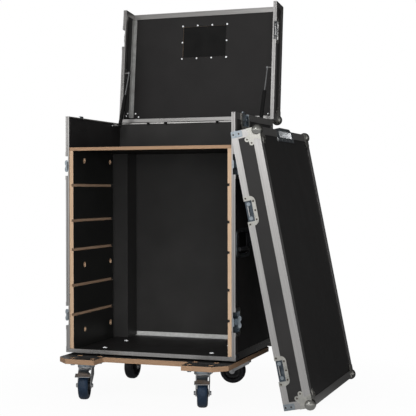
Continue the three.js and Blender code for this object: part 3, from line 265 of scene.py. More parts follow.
# %% Floor
floor_reach = 30
ground = bmesh.new()
bmesh.ops.create_grid(ground, x_segments=1, y_segments=1, size=floor_reach)
floor_mesh = bpy.data.meshes.new("studio_floor")
ground.to_mesh(floor_mesh)
ground.free()
floor = bpy.data.objects.new("studio_floor", floor_mesh)
scene.collection.objects.link(floor)
pale, nodes, links, matt = finish("pale_floor", (0.5, 0.5, 0.5), 0.9, specular=0)
white = nodes.new("ShaderNodeEmission")
white.inputs["Color"].default_value = (1, 1, 1, 1)
place = nodes.new("ShaderNodeTexCoord").outputs["Object"]
away = nodes.new("ShaderNodeVectorMath")
away.operation = "LENGTH"
links.new(place, away.inputs[0])
fade = ranged(nodes, links, away.outputs["Value"], (0.4, 1.1), (0.955, 1.0))
glossy, seen = rays(nodes, links)
share = maths(nodes, links, "MULTIPLY", seen, fade)
plain = mixed(nodes, links, share, matt.outputs[0], white.outputs[0])
across = nodes.new("ShaderNodeSeparateXYZ")
links.new(place, across.inputs[0])
mirrored = nodes.new("ShaderNodeEmission")
darker = ranged(nodes, links, across.outputs["Y"], (-0.6, 0.4), (0.36, 0.04))
links.new(darker, mirrored.inputs["Strength"])
surface = mixed(nodes, links, glossy, plain, mirrored.outputs[0])
links.new(surface, nodes["Material Output"].inputs["Surface"])
floor_mesh.materials.append(pale)
print("floor, m:", 2 * floor_reach)

# %% [markdown]
# Two large soft boxes in front light the case evenly. They aren't mirrored, because they would
# wash out the metal. A weak strip and a weak key lamp are mirrored instead and draw its
# highlights. One more soft box stands behind, for the views from there.

# %% Lamps
def lamp(name, place, target, size, power, mirrored=True):
    data = bpy.data.lights.new(name, "AREA")
    data.shape = "RECTANGLE"
    data.size, data.size_y = size
    data.energy = power
    light = bpy.data.objects.new(name, data)
    scene.collection.objects.link(light)
    light.visible_glossy = mirrored
    light.location = place
    light.rotation_euler = (Vector(target) - Vector(place)).to_track_quat("-Z", "Y").to_euler()


lamp("front_soft_box", (0.1, -2.9, 3.6), (-0.1, 0, 0.8), (2.4, 1.4), 75, False)
lamp("low_soft_box", (1.2, -3.0, 0.8), (-0.2, 0, 0.6), (1.6, 1.2), 50, False)
lamp("strip_soft_box", (-0.9, -3.0, 1.4), (0.1, 0, 1.2), (2.6, 0.36), 3)
lamp("key", (-0.2, -3.2, 2.3), (0.2, 0, 0.8), (1.3, 1.3), 8)
lamp("back_soft_box", (-2.8, 2.6, 2.2), (-0.1, 0, 0.7), (1.6, 2.0), 25)
print("lamps:", len(bpy.data.lights))

# %% [markdown]
# The profiles are drawn through a die, so their fine lines run along them. One finish can't know
# which way a rail runs, so there is one for each direction in each of the three frames, and each
# face takes the one along its longest edge.

# %% Drawn aluminium, along any rail
noise_middle = (0.3, 0.7)  # where most of a noise's values lie
across_lines, along_lines = 900.0, 6.0
line_depth = 0.0002  # metres


def drawn_aluminium(name, along, turn, tone):
    middle = (tone, tone * 0.985, tone * 0.97)
    material, nodes, links, shader = finish(name, middle, 0.34, 1.0)
    fine = [across_lines] * 3
    fine[along] = along_lines
    lines = grain(nodes, links, fine, 2.0, turn)
    shades = [tuple(share * v for v in middle) for share in (0.85, 1.15)]
    colour = ramped(nodes, links, lines, list(zip(noise_middle, shades)))
    links.new(colour, shader.inputs["Base Color"])
    cloud = grain(nodes, links, (7.0, 7.0, 7.0), 4.0)
    links.new(ranged(nodes, links, cloud, noise_middle, (0.26, 0.36)), shader.inputs["Roughness"])
    bump_to(nodes, links, lines, shader, 0.02, line_depth)
    return material


frame_turns = {"case": (0, 0, 0), "lid": (math.radians(lid_angle), 0, 0), "cover": (0, lean, 0)}
# Painted light: the same aluminium takes a lighter tone on the cover and darker ones on the case
# and the lid, for how the light falls on each.
painted_light_tones = {"case": 0.54, "lid": 0.5, "cover": 0.7}
aluminium = {
    body: [
        drawn_aluminium(f"drawn_aluminium_{body}_{axis}", i, turn, painted_light_tones[body])
        for i, axis in enumerate("xyz")
    ]
    for body, turn in frame_turns.items()
}
print("finishes of drawn aluminium:", sum(len(v) for v in aluminium.values()))


# %% [markdown]
# The pressed fittings are zinc plated steel: bluish on the latches, a little yellow at the
# corners, with soft clouds where the bath dried. The black film on the plywood has a fine print
# in it and is never quite even. Paint, rubber and rivets are made the same way, each from a dark
# and a light colour and two roughnesses.

# %% Zinc, film, steel and rubber
print_finer, print_depth = 40, 0.0003  # the fine print against the clouds, and its depth in metres


def mottled(name, dark, light, rough_low, rough_high, scale, metallic=0.0, specular=0.5, bump=0.1):
    middle = tuple((a + b) / 2 for a, b in zip(dark, light))
    material, nodes, links, shader = finish(name, middle, rough_low, metallic, specular)
    cloud = grain(nodes, links, (scale, scale, scale), 5.0)
    colour = ramped(nodes, links, cloud, [(0.35, dark), (0.65, light)])
    links.new(colour, shader.inputs["Base Color"])
    rough = ranged(nodes, links, cloud, noise_middle, (rough_low, rough_high))
    links.new(rough, shader.inputs["Roughness"])
    fine = grain(nodes, links, (scale * print_finer,) * 3, 2.0)
    bump_to(nodes, links, fine, shader, bump, print_depth)
    return material


zinc = mottled("zinc_plate", (0.36, 0.42, 0.47), (0.52, 0.58, 0.63), 0.24, 0.4, 60, 1.0)
# A paler zinc: it is painted light on the pans' raised bosses and on the top of each strut's
# bracket, and the lid's pans take it whole.
pale_zinc_and_painted_light = mottled("pale_zinc_and_painted_light", (0.6, 0.6, 0.6), (0.78, 0.78, 0.77), 0.22, 0.34, 60, 1.0)
cream_zinc = mottled("cream_zinc", (0.6, 0.6, 0.56), (0.78, 0.77, 0.72), 0.22, 0.38, 45, 1.0)
fork_zinc = mottled("fork_zinc", (0.5, 0.51, 0.52), (0.68, 0.69, 0.7), 0.3, 0.45, 40, 1.0)
# Painted shade: a dark copy of the zinc for the deep floors of the latch pans.
painted_shade_zinc = mottled("painted_shade_zinc", (0.08, 0.1, 0.12), (0.16, 0.19, 0.22), 0.3, 0.45, 60, 1.0)
film_tones = (0.0115, 0.0108, 0.0108), (0.016, 0.0152, 0.015)
film = mottled("black_film", *film_tones, 0.42, 0.56, 9, specular=0.28, bump=0.08)
outer_film = mottled("outer_film", *film_tones, 0.36, 0.48, 9, bump=0.05)
liner_film = mottled(
    "liner_film", (0.0085, 0.0087, 0.0082), (0.012, 0.012, 0.0115), 0.3, 0.42, 9,
    specular=0.3, bump=0.05,
)
# Painted light: a lighter copy of the black film for the inside of the case's rear wall and ducts,
# where the front light falls.
inner_film = mottled(
    "inner_film", (0.024, 0.0235, 0.023), (0.031, 0.03, 0.0295), 0.42, 0.56, 9,
    specular=0.2, bump=0.08,
)
satin = mottled("satin_aluminium", (0.3, 0.3, 0.29), (0.42, 0.42, 0.41), 0.35, 0.5, 40, 0.5)
polished_ball = mottled(
    "polished_ball", (0.48, 0.48, 0.45), (0.6, 0.6, 0.565), 0.18, 0.24, 40, 1.0,
)
# A pale matt finish for rivet tails and bolt heads, also used as a painted reflection inside the
# cover's grip.
pale_metal_and_painted_reflection = mottled("pale_metal_and_painted_reflection", (0.78, 0.79, 0.8), (0.88, 0.89, 0.9), 0.35, 0.5, 60)
grey_metal = mottled("grey_metal", (0.44, 0.44, 0.43), (0.52, 0.52, 0.51), 0.35, 0.5, 60)
dull_black = mottled(
    "dull_black", (0.006, 0.006, 0.006), (0.01, 0.0098, 0.0096), 0.6, 0.75, 20, specular=0.15,
)
black_paint = mottled("black_steel", (0.008, 0.008, 0.009), (0.014, 0.014, 0.016), 0.3, 0.42, 30)
polished = mottled("polished_rod", (0.45, 0.46, 0.47), (0.6, 0.61, 0.62), 0.16, 0.24, 40, 1.0)
tyre_rubber = mottled("tyre_rubber", (0.005, 0.014, 0.03), (0.008, 0.021, 0.044), 0.4, 0.55, 50)
# Painted shade: a black copy of the navy tyre rubber, for the rear tyres, which stand in shade.
painted_shade_rubber = mottled("painted_shade_rubber", (0.005, 0.006, 0.008), (0.008, 0.009, 0.012), 0.4, 0.55, 50)
hub_plastic = mottled("hub_plastic", (0.006, 0.006, 0.007), (0.011, 0.011, 0.012), 0.4, 0.5, 50)
rivet_steel = mottled("rivet_steel", (0.5, 0.5, 0.5), (0.68, 0.68, 0.68), 0.25, 0.35, 90, 1.0)
dark_rivet = mottled("dark_rivet", (0.1, 0.085, 0.07), (0.17, 0.14, 0.12), 0.35, 0.45, 90, 1.0)
print("finishes so far:", len(bpy.data.materials))


# %% [markdown]
# The raw edge of a birch board shows its plies: thin bands across the thickness, light where a
# ply runs along the edge and darker where it is cut across. The grooves are milled into the same
# board, so their walls show the same bands.

# %% Birch ply edges, with bands across any direction
plies, fibres_across, fibres_along = 110.0, 900.0, 14.0


def birch(name, across, light=(0.56, 0.4, 0.27), dark=(0.36, 0.235, 0.145)):
    material, nodes, links, shader = finish(name, light, 0.6)
    place = nodes.new("ShaderNodeTexCoord")
    bands = nodes.new("ShaderNodeTexWave")
    bands.wave_type = "BANDS"
    bands.bands_direction = "XYZ"[across]
    bands.inputs["Scale"].default_value = plies
    bands.inputs["Distortion"].default_value = 0.6
    bands.inputs["Detail"].default_value = 2.0
    links.new(place.outputs["Object"], bands.inputs["Vector"])
    long = [fibres_along] * 3
    long[across] = fibres_across
    fibre = grain(nodes, links, long, 4.0)
    mix = nodes.new("ShaderNodeMix")
    mix.data_type = "FLOAT"
    mix.inputs[0].default_value = 0.45
    links.new(bands.outputs["Fac"], mix.inputs[2])
    links.new(fibre, mix.inputs[3])
    between = tuple((a * 2 + b) / 3 for a, b in zip(light, dark))
    colour = ramped(nodes, links, mix.outputs[0], [(0.15, dark), (0.5, between), (0.85, light)])
    links.new(colour, shader.inputs["Base Color"])
    links.new(ranged(nodes, links, fibre, noise_middle, (0.5, 0.7)), shader.inputs["Roughness"])
    bump_to(nodes, links, mix.outputs[0], shader, 0.15, 0.0003)
    return material


liner_birch = birch("birch_liner_edge", 0)
board_birch = birch("birch_board_edge", 2, (0.36, 0.225, 0.135), (0.22, 0.13, 0.075))
bore_birch = birch("birch_bore", 2, (0.6, 0.4, 0.22), (0.45, 0.28, 0.15))
groove_birch = birch("birch_groove", 0, (0.52, 0.38, 0.27), (0.33, 0.22, 0.15))
print("all finishes:", len(bpy.data.materials))


# %% [markdown]
# A CAD solid has razor edges and facets. The copy of each one is merged, its flat faces are
# joined up, and a live Bevel rounds the edges by a fraction of a millimetre, which is what
# catches the light on real metal. The copy then stands for the solid.

# %% Copies of the solids with soft edges
merge_within = 0.00002  # metres
flat_within = 0.6  # degrees between two faces, as are the next two
sharp_from = 32
soft_from = 40


def finished(node_name, pick_finish, finishes, bevel=0.0004):
    node = frame["nodes"][node_name]
    mesh = node.data.copy()
    mesh.name = node_name + "_finished"
    shape = bmesh.new()
    shape.from_mesh(mesh)
    bmesh.ops.remove_doubles(shape, verts=shape.verts, dist=merge_within)
    bmesh.ops.dissolve_limit(
        shape, angle_limit=math.radians(flat_within), verts=shape.verts, edges=shape.edges,
    )
    for face in shape.faces:
        face.material_index = pick_finish(face)
        face.smooth = True
    mesh.materials.clear()
    for material in finishes:
        mesh.materials.append(material)
    shape.to_mesh(mesh)
    shape.free()
    # The normals that came with the loose triangles don't fit the joined faces.
    if "custom_normal" in mesh.attributes:
        mesh.attributes.remove(mesh.attributes["custom_normal"])
    mesh.set_sharp_from_angle(angle=math.radians(sharp_from))
    piece = bpy.data.objects.new(node_name + "_finished", mesh)
    scene.collection.objects.link(piece)
    soft = piece.modifiers.new("soft_edges", "BEVEL")
    soft.width = bevel
    soft.segments = 2
    soft.limit_method = "ANGLE"
    soft.angle_limit = math.radians(soft_from)
    soft.harden_normals = True
    soft.use_clamp_overlap = True
    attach(piece, node["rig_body"])
    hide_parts(node_name)


# %% [markdown]
# A rim is one solid with its latch pans, and an edge angle is one with its corner plates and
# balls. Which finish a face takes is read from its place and the way it points, in the frame
# that it belongs to. Along a rail it is the drawn aluminium of that direction.

# %% Which face of a rim or an edge angle is what
latch_levels = (136, 690)
top_latch_back = 117
strut_back = 412
pan_half, pan_reach, pan_depth = 37.5, 47, 10.6  # a latch's recess, with a little room
keeper_reach = 29
room_round = 0.3
plate_proud, ball_proud = 0.3, 2.2
facing = 0.7  # a face points along an axis when this much of its normal does
# Some of these are painted light and shade: black film on metal in shade, dark zinc in the pan
# floors, and paler zinc where light falls.
CREAM, PLATE, PAINTED_SHADE, PAINTED_PAN_SHADE, PALE_AND_PAINTED_LIGHT, BALL = range(3, 9)  # after the three of drawn aluminium


def finishes_of(body):
    return aluminium[body] + [cream_zinc, zinc, film, painted_shade_zinc, pale_zinc_and_painted_light, polished_ball]


def case_mm(point):
    return CASE.inverted() @ point


def longest_axis(place):
    """Which axis of a frame a face's longest edge runs along."""
    back = place.inverted().to_3x3()

    def pick(face):
        edge = max(face.edges, key=lambda e: e.calc_length())
        run = back @ (edge.verts[1].co - edge.verts[0].co)
        return max(range(3), key=lambda i: abs(run[i]))

    return pick


def shallow(middle):
    return half_width - abs(middle.x) < pan_depth


def near_latch(middle):
    return min(abs(middle.z - level) for level in latch_levels) < pan_half and shallow(middle)


def in_latch_dish(middle):
    low = near_latch(middle) and room_round < middle.y < pan_reach
    beside_top = abs(middle.y - top_latch_back) < pan_half and shallow(middle)
    return low or beside_top and case_height - pan_reach < middle.z < case_height - room_round


def in_lid_keeper(middle):
    beside = abs(middle.y - (top_latch_back - hinge_back)) < pan_half
    high_enough = room_round < middle.z - room_round < keeper_reach
    return beside and high_enough and shallow(middle)


def in_cover_keeper(middle):
    return near_latch(middle) and -keeper_reach < middle.y < -room_round


def rim_finish(place, in_dish):
    """A rim's faces: drawn aluminium by direction, then the pans that are riveted to it."""
    to_mm = place.inverted()
    along = longest_axis(place)

    def pick(face):
        middle = to_mm @ face.calc_center_median()
        normal = (to_mm.to_3x3() @ face.normal).normalized()
        depth = half_width - abs(middle.x)
        sideways = abs(normal.x) > facing
        if depth < -0.2:  # a flange or a keeper, which stands proud
            return CREAM
        # A strut's bracket: its top is painted light with the paler zinc, and the rest is painted
        # shade with black film.
        if place == CASE and depth > wall_inner + 0.1 and abs(middle.y - strut_back) < 30:
            return PALE_AND_PAINTED_LIGHT if middle.z > case_height - 13 else PAINTED_SHADE  # a strut's bracket
        # Painted shade: the aluminium leg inside the case takes black film.
        if wall_inner - 1 < depth < wall_inner and sideways and normal.x * middle.x < 0:
            return PAINTED_SHADE  # the leg inside the case
        if depth > 1.6 and in_dish(middle):  # a pan, whose floor lies below 8
            outward = sideways and normal.x * middle.x > 0
            # Painted shade: a pan's deep floor takes the dark copy of the zinc.
            if outward and depth > 8:
                return PAINTED_PAN_SHADE
            # Painted light: a pan's raised bosses take the paler zinc.
            return PALE_AND_PAINTED_LIGHT if place == LID or outward and depth < 5 else PLATE
        return along(face)

    return pick


def edge_finish(place, low, high):
    """An edge angle's faces: what stands out of the box is a corner plate or a ball."""
    to_mm = place.inverted()
    along = longest_axis(place)

    def pick(face):
        middle = to_mm @ face.calc_center_median()
        proud = max(max(a - m, m - b) for m, a, b in zip(middle, low, high))
        if proud > ball_proud:
            return BALL
        return CREAM if proud > plate_proud else along(face)

    return pick


boxes = {
    "case": (CASE, (-half_width, 0, 0), (half_width, case_depth, case_height)),
    "lid": (LID, (-half_width, -hinge_back, 0), (half_width, -hinge_set, lid_height)),
    "cover": (COVER, (-half_width, -cover_depth, 0), (half_width, 0, cover_height)),
}
for node_name in ("front_rim", "top_rim"):
    finished(node_name, rim_finish(CASE, in_latch_dish), finishes_of("case"), 0.0002)
finished("lid_rim", rim_finish(LID, in_lid_keeper), finishes_of("lid"), 0.0002)
finished("cover_rim", rim_finish(COVER, in_cover_keeper), finishes_of("cover"), 0.0002)
for node_name, body in (("body_edges", "case"), ("lid_edges", "lid"), ("cover_edges", "cover")):
    finished(node_name, edge_finish(*boxes[body]), finishes_of(body))
print("far corners, mm:", {body: box[2] for body, box in boxes.items()})


# %% [markdown]
# The walls are film-faced plywood. The smooth side of the film points outwards, and the printed
# side inwards. The inside of the case's rear wall and ducts takes a lighter copy of the film, which
# is painted light. Only in the lid, round the hole for the label dish, does the raw wood show.

# %% Walls
walls = (
    "left_wall", "right_wall", "rear_wall", "floor_panel", "left_rear_duct", "right_rear_duct",
    "lid_left_wall", "lid_right_wall", "lid_rear_wall", "lid_panel", "cover_walls", "cover_panel",
)
lid_up = (LID.to_3x3() @ Vector((0, 0, 1))).normalized()
skin = 2.5  # a face this near the box's side is an outer one
hole_half, hole_near, hole_far = 120, -250, -450


def film_side(place, low, high):
    """1 on the outside of a box, 0 inside it."""
    to_mm = place.inverted()

    def pick(face):
        middle = to_mm @ face.calc_center_median()
        normal = to_mm.to_3x3() @ face.normal
        for i in range(3):
            if abs(normal[i]) > facing * normal.length:
                edge = high[i] - middle[i] if normal[i] > 0 else middle[i] - low[i]
                return 1 if edge < skin else 0
        return 0

    return pick


def panel_finish(face):
    """The lid panel's film, and raw birch round the hole that the label dish sits in."""
    middle = LID.inverted() @ face.calc_center_median()
    near_hole = abs(middle.x) < hole_half and hole_far < middle.y < hole_near
    if near_hole and abs(face.normal.dot(lid_up)) < 0.5:
        return 2
    return film_side(*boxes["lid"])(face)


for node_name in walls:
    owner = next((body for body in ("lid", "cover") if node_name.startswith(body)), "case")
    # The case's rear wall and ducts take the lighter film inside: painted light.
    inner = inner_film if "rear" in node_name and owner == "case" else film
    pick = panel_finish if node_name == "lid_panel" else film_side(*boxes[owner])
    finished(node_name, pick, [inner, outer_film, liner_birch], 0.0002)
print("walls and panels:", len(walls))


# %% [markdown]
# Fittings are mostly one finish each. A handle's dish is black inside and zinc on its flange.
# Inside the grip's opening on the cover, a pale matt finish is a painted reflection.

# %% Struts, latches, handles, castor forks, label dish and grip
def one_finish(face):
    return 0


def dish_flange(face):
    middle = case_mm(face.calc_center_median())
    return 1 if abs(middle.x) > half_width + 0.2 else 0


def grip_finish(face):
    middle = COVER.inverted() @ face.calc_center_median()
    # Painted reflection: the faces inside the opening take the pale matt finish.
    return 1 if middle.y > 1.5 - cover_depth and middle.z < cover_height - 2 else 0


for side in ("left", "right"):
    finished(f"strut_body_{side}", one_finish, [dull_black])
    finished(f"strut_rod_{side}", one_finish, [polished], 0.0003)
    for place in ("lower", "upper", "top"):
        finished(f"latch_hook_{side}_{place}", one_finish, [zinc], 0.0003)
        finished(f"latch_wing_{side}_{place}", one_finish, [zinc])
    for place in ("front", "rear"):
        finished(f"handle_dish_{side}_{place}", dish_flange, [dull_black, zinc])
        finished(f"handle_bail_{side}_{place}", one_finish, [black_paint], 0.0006)
for place in ("front_left", "front_right", "rear_left", "rear_right"):
    finished(f"castor_fork_{place}", one_finish, [fork_zinc], 0.0005)
for place in ("front_left", "front_right"):
    finished(f"brake_pedal_{place}", one_finish, [fork_zinc])
finished("lid_label_dish", one_finish, [dull_black], 0.0003)
finished("cover_edge_grip", grip_finish, [zinc, pale_metal_and_painted_reflection])


# %% [markdown]
# The shelf, the liners and the castor board are one board each, black on its faces and birch on
# its edges. The liners' grooves and the bores in the castor board cut down to bare wood.

# %% Plywood with raw edges
liner_face, liner_back = 300.9, 312
board_top, board_foot = -7, -25


def shelf_finish(face):
    return 0 if abs(face.normal.z) > facing else 1


def liner_finish(face):
    """Film on both faces, plies on the edges and paler wood in the grooves."""
    middle = case_mm(face.calc_center_median())
    if abs(face.normal.x) < facing:
        return 1
    return 0 if abs(abs(middle.x) - liner_face) < 1.5 or abs(middle.x) > liner_back else 2


def board_finish(face):
    """Film on both faces, plies on the edges, zinc on the metal, paler wood in the bores."""
    level = case_mm(face.calc_center_median()).z
    if level < board_foot - 0.05 or level > board_top + 0.1:
        return 2
    if abs(face.normal.z) > facing:
        return 0 if level > board_top - 1 or level < board_foot + 1 else 3
    return 1


finished("divider_shelf", shelf_finish, [film, board_birch], 0.0003)
for side in ("left", "right"):
    finished(f"{side}_liner", liner_finish, [liner_film, liner_birch, groove_birch], 0.0002)
finished("castor_board", board_finish, [film, board_birch, zinc, bore_birch], 0.0003)
print("board faces at, mm:", board_foot, board_top)


# %% [markdown]
# A castor wheel is a dark hub with a rubber tyre cast round it. Half of its outline is spun round
# the axle, with many more steps than the solid needs, so that it looks round up close.

# %% Wheels by spinning an outline
castor_turns = {"front_left": 17, "front_right": 18, "rear_left": 0, "rear_right": -82}
castor_places = {
    "front_left": (-225.5, -46), "front_right": (225.5, -46),
    "rear_left": (-225.5, 412), "rear_right": (225.5, 412),
}
axle_back, axle_drop = 40, 77  # from the swivel, and from the board's foot
spin_steps = 64


def castor_frame(name):
    x, y = castor_places[name]
    swivel = Matrix.Rotation(math.radians(castor_turns[name]), 4, "Z")
    return CASE @ Matrix.Translation((x, y, board_foot)) @ swivel


def made(name, shape, body, material, smooth):
    """An object from a bmesh, sharp where two faces meet at more than some degrees."""
    for face in shape.faces:
        face.smooth = True
    mesh = bpy.data.meshes.new(name)
    mesh.materials.append(material)
    shape.to_mesh(mesh)
    shape.free()
    mesh.set_sharp_from_angle(angle=math.radians(smooth))
    piece = bpy.data.objects.new(name, mesh)
    scene.collection.objects.link(piece)
    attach(piece, body)
    return piece


def spun(name, outline, frame_of_piece, body, material):
    """Spin an outline of (radius, along) about the frame's X axis."""
    shape = bmesh.new()
    points = [shape.verts.new((along, radius, 0)) for radius, along in outline]
    edges = [shape.edges.new((a, b)) for a, b in zip(points, points[1:] + points[:1])]
    bmesh.ops.spin(
        shape, geom=points + edges, cent=(0, 0, 0), axis=(1, 0, 0), dvec=(0, 0, 0),
        angle=2 * math.pi, steps=spin_steps, use_merge=True, use_duplicate=False,
    )
    bmesh.ops.remove_doubles(shape, verts=shape.verts, dist=0.01)
    bmesh.ops.recalc_face_normals(shape, faces=shape.faces)
    bmesh.ops.transform(shape, matrix=frame_of_piece, verts=shape.verts)
    return made(name, shape, body, material, 40)


tyre_outline = [
    (35.2, -17.6), (41, -18), (44, -17.2), (47, -14.6), (49.2, -10.5), (50, -5), (50, 5),
    (49.2, 10.5), (47, 14.6), (44, 17.2), (41, 18), (35.2, 17.6),
]
hub_outline = [
    (4.9, -20.5), (12, -20.5), (14.6, -19.6), (15, -18.5), (15, -7.4), (17, -6), (30, -6),
    (32.4, -7.4), (33.4, -15), (34.2, -17), (35.2, -17.6), (35.2, 17.6), (34.2, 17), (33.4, 15),
    (32.4, 7.4), (30, 6), (17, 6), (15, 7.4), (15, 18.5), (14.6, 19.6), (12, 20.5), (4.9, 20.5),
]
for name in castor_turns:
    axle = castor_frame(name) @ Matrix.Translation((0, -axle_back, -axle_drop))
    # The rear tyres take the black copy of the rubber: painted shade.
    rubber = painted_shade_rubber if "rear" in name else tyre_rubber
    tyre = spun(f"tyre_{name}", tyre_outline, axle, f"{name}_wheel", rubber)
    hub = spun(f"hub_{name}", hub_outline, axle, f"{name}_wheel", hub_plastic)
    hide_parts(f"castor_wheel_{name}")
    print(name, "wheel faces:", len(tyre.data.polygons) + len(hub.data.polygons))


# %% [markdown]
# Rivets are domes, and there are more than two hundred, so each is a small half ball of a few
# dozen faces. One ball is made, cut in half and flattened, and then duplicated to every place
# with the direction that its head points in.

# %% Rivets
def studs(name, places, body, material, radius, height):
    """Domed heads at (point, direction) pairs in metres."""
    shape = bmesh.new()
    bmesh.ops.create_uvsphere(shape, u_segments=12, v_segments=8, radius=radius)
    bmesh.ops.bisect_plane(
        shape, geom=shape.verts[:] + shape.edges[:] + shape.faces[:], plane_co=(0, 0, 0),
        plane_no=(0, 0, -1), clear_outer=True,
    )
    bmesh.ops.scale(shape, vec=(1, 1, height / radius), verts=shape.verts)
    bmesh.ops.holes_fill(shape, edges=[e for e in shape.edges if e.is_boundary], sides=0)
    bmesh.ops.recalc_face_normals(shape, faces=shape.faces)
    first = shape.verts[:]
    pattern = first + shape.edges[:] + shape.faces[:]
    for point, direction in places:
        copy = bmesh.ops.duplicate(shape, geom=pattern)
        verts = [g for g in copy["geom"] if isinstance(g, bmesh.types.BMVert)]
        aim = Vector(direction).normalized().to_track_quat("Z", "Y").to_matrix().to_4x4()
        put = Matrix.Translation(point) @ aim @ Matrix.Scale(MM, 4)
        bmesh.ops.transform(shape, matrix=put, verts=verts)
    bmesh.ops.delete(shape, geom=first, context="VERTS")
    print(name, len(places), "heads")
    return made(name, shape, body, material, 60)


def seat(place, origin, along, into, out):
    """A riveted fitting's own frame inside the case, lid or cover frame."""
    axes = Matrix((
        (along[0], into[0], out[0], origin[0]),
        (along[1], into[1], out[1], origin[1]),
        (along[2], into[2], out[2], origin[2]),
        (0, 0, 0, 1),
    ))
    return place @ axes


def on_seat(frame_of_seat, points, lift):
    out = frame_of_seat.to_3x3() @ Vector((0, 0, 1))
    return [(frame_of_seat @ Vector((x, y, lift)), out) for x, y in points]


# %% [markdown]
# Each latch is held by six rivets round its pan, and each keeper by five. The latches' heads are
# bright, and those of the keepers have darkened.

# %% Latch and keeper rivets
latch_points = [(-44, 13), (44, 13), (-43, 36), (43, 36), (-17, 51.5), (17, 51.5)]
keeper_points = [(-45, 7.5), (45, 7.5), (-32, 33.5), (32, 33.5), (0, 34.5)]
latch_sheet = 1.2
keeper_back = top_latch_back - hinge_back
case_heads, lid_heads, cover_heads = [], [], []
for sign in (-1, 1):
    x, out = sign * half_width, (sign, 0, 0)
    for level in latch_levels:
        latch = seat(CASE, (x, 0, level), (0, 0, -sign), (0, 1, 0), out)
        case_heads += on_seat(latch, latch_points, latch_sheet)
        keeper = seat(COVER, (x, 0, level), (0, 0, sign), (0, -1, 0), out)
        cover_heads += on_seat(keeper, keeper_points, latch_sheet)
    latch = seat(CASE, (x, top_latch_back, case_height), (0, -sign, 0), (0, 0, -1), out)
    case_heads += on_seat(latch, latch_points, latch_sheet)
    keeper = seat(LID, (x, keeper_back, 0.3), (0, sign, 0), (0, 0, 1), out)
    lid_heads += on_seat(keeper, keeper_points, latch_sheet)
studs("latch_rivets", case_heads, "case", rivet_steel, 3.2, 1.3)
studs("cover_keeper_rivets", cover_heads, "cover", dark_rivet, 3.4, 1.3)
studs("lid_keeper_rivets", lid_heads, "lid", dark_rivet, 3.4, 1.3)

# %% [markdown]
# Each handle dish has eight rivets round its flange. The label dish is riveted from outside, so
# inside the lid only the bright tails of its ten rivets show. The edge grip has them on both faces.

# %% Handle, label and grip rivets
handle_points = [(x, y) for x in (-64, 64) for y in (-36, 36)]
handle_points += [(x, y) for x in (-27, 27) for y in (-45.5, 45.5)]
handle_inset, handle_level, handle_sheet = 91, 413, 1.5
heads = []
for sign in (-1, 1):
    for back in (handle_inset, case_depth - handle_inset):
        middle = (sign * half_width, back, handle_level)
        handle = seat(CASE, middle, (0, sign, 0), (0, 0, 1), (sign, 0, 0))
        heads += on_seat(handle, handle_points, handle_sheet)
studs("handle_rivets", heads, "case", rivet_steel, 3.4, 1.4)

label_share = 0.7326  # of the lid's depth, from the hinge
label_y = -label_share * hinge_back
label_points = [(x, label_y + y) for x in (-96.5, -32, 32, 96.5) for y in (-68.5, 68.5)]
label_points += [(-96.5, label_y), (96.5, label_y)]
inside = LID.to_3x3() @ Vector((0, 0, -1))
tails = [(LID @ Vector((x, y, lid_height - wall_inner)), inside) for x, y in label_points]
studs("label_rivet_tails", tails, "lid", pale_metal_and_painted_reflection, 3.8, 2.0)
heads = [(LID @ Vector((x, y, lid_height - 0.3)), -inside) for x, y in label_points]
studs("label_rivets", heads, "lid", dark_rivet, 3.0, 1.0)

grip_out = COVER.to_3x3() @ Vector((0, -1, 0))
grip_up = COVER.to_3x3() @ Vector((0, 0, 1))
front_points = [(x, z) for x in (-98, 98) for z in (9, 34)] + [(x, 35) for x in (-52, 0, 52)]
top_points = [(x, y) for x in (-97, 97) for y in (16, 48)] + [(x, 54) for x in (-40, 40)]
heads = [
    (COVER @ Vector((x, -cover_depth, cover_height - z)), grip_out) for x, z in front_points
] + [
    (COVER @ Vector((x, y - cover_depth, cover_height)), grip_up) for x, y in top_points
]
studs("grip_rivets", heads, "cover", rivet_steel, 3.2, 1.3)

# %% [markdown]
# The ball corners take the knocks. Each has a ball on the corner and a folded plate on each of
# the three faces, with two ears. The solid's ball has few facets, so a smooth ball of the same
# size goes over it, bright like the real one.

# %% Ball corners
ball_radius = 20.6
ball_set = 10
corner_places = [
    ("case", CASE, (sign * half_width, case_depth, 0), (-sign, -1, 1)) for sign in (-1, 1)
] + [
    ("lid", LID, (sign * half_width, -hinge_set, lid_height), (-sign, -1, -1)) for sign in (-1, 1)
] + [
    ("cover", COVER, (sign * half_width, -cover_depth, level), (-sign, 1, 1 if level == 0 else -1))
    for sign in (-1, 1) for level in (0, cover_height)
]
ear_lobes = [(48.5, 37), (34.5, 51.5)]
ear_root = [(24, 20), (44, 20)]
ear_sheet, ear_radius = 1.3, 8.6


def outline_round(lobe, root, steps=24):
    """The outline round a disc and some points, as a rubber band would lie."""
    turns = [2 * math.pi * i / steps for i in range(steps)]
    (x, y), r = lobe, ear_radius
    points = list(root) + [(x + r * math.cos(t), y + r * math.sin(t)) for t in turns]
    points = sorted({(round(x, 4), round(y, 4)) for x, y in points})
    band = []
    for run in (points, points[::-1]):
        side = []
        for p in run:
            while len(side) > 1:
                (ax, ay), (bx, by) = side[-2:]
                if (bx - ax) * (p[1] - ay) - (by - ay) * (p[0] - ax) > 0:
                    break
                side.pop()
            side.append(p)
        band += side[:-1]
    return band


def ear(shape, frame_of_seat, lobes, root):
    """A lobed plate that stands out along the seat's Z: one tab for each lobe."""
    for lift, lobe in zip((0, 0.02), lobes):
        rim = [shape.verts.new((x, y, lift)) for x, y in outline_round(lobe, root)]
        tab = shape.faces.new(rim)
        raised = bmesh.ops.extrude_face_region(shape, geom=[tab], use_keep_orig=True)
        lifted = [g for g in raised["geom"] if isinstance(g, bmesh.types.BMVert)]
        bmesh.ops.translate(shape, vec=(0, 0, ear_sheet), verts=lifted)
        bmesh.ops.transform(shape, matrix=frame_of_seat, verts=rim + lifted)


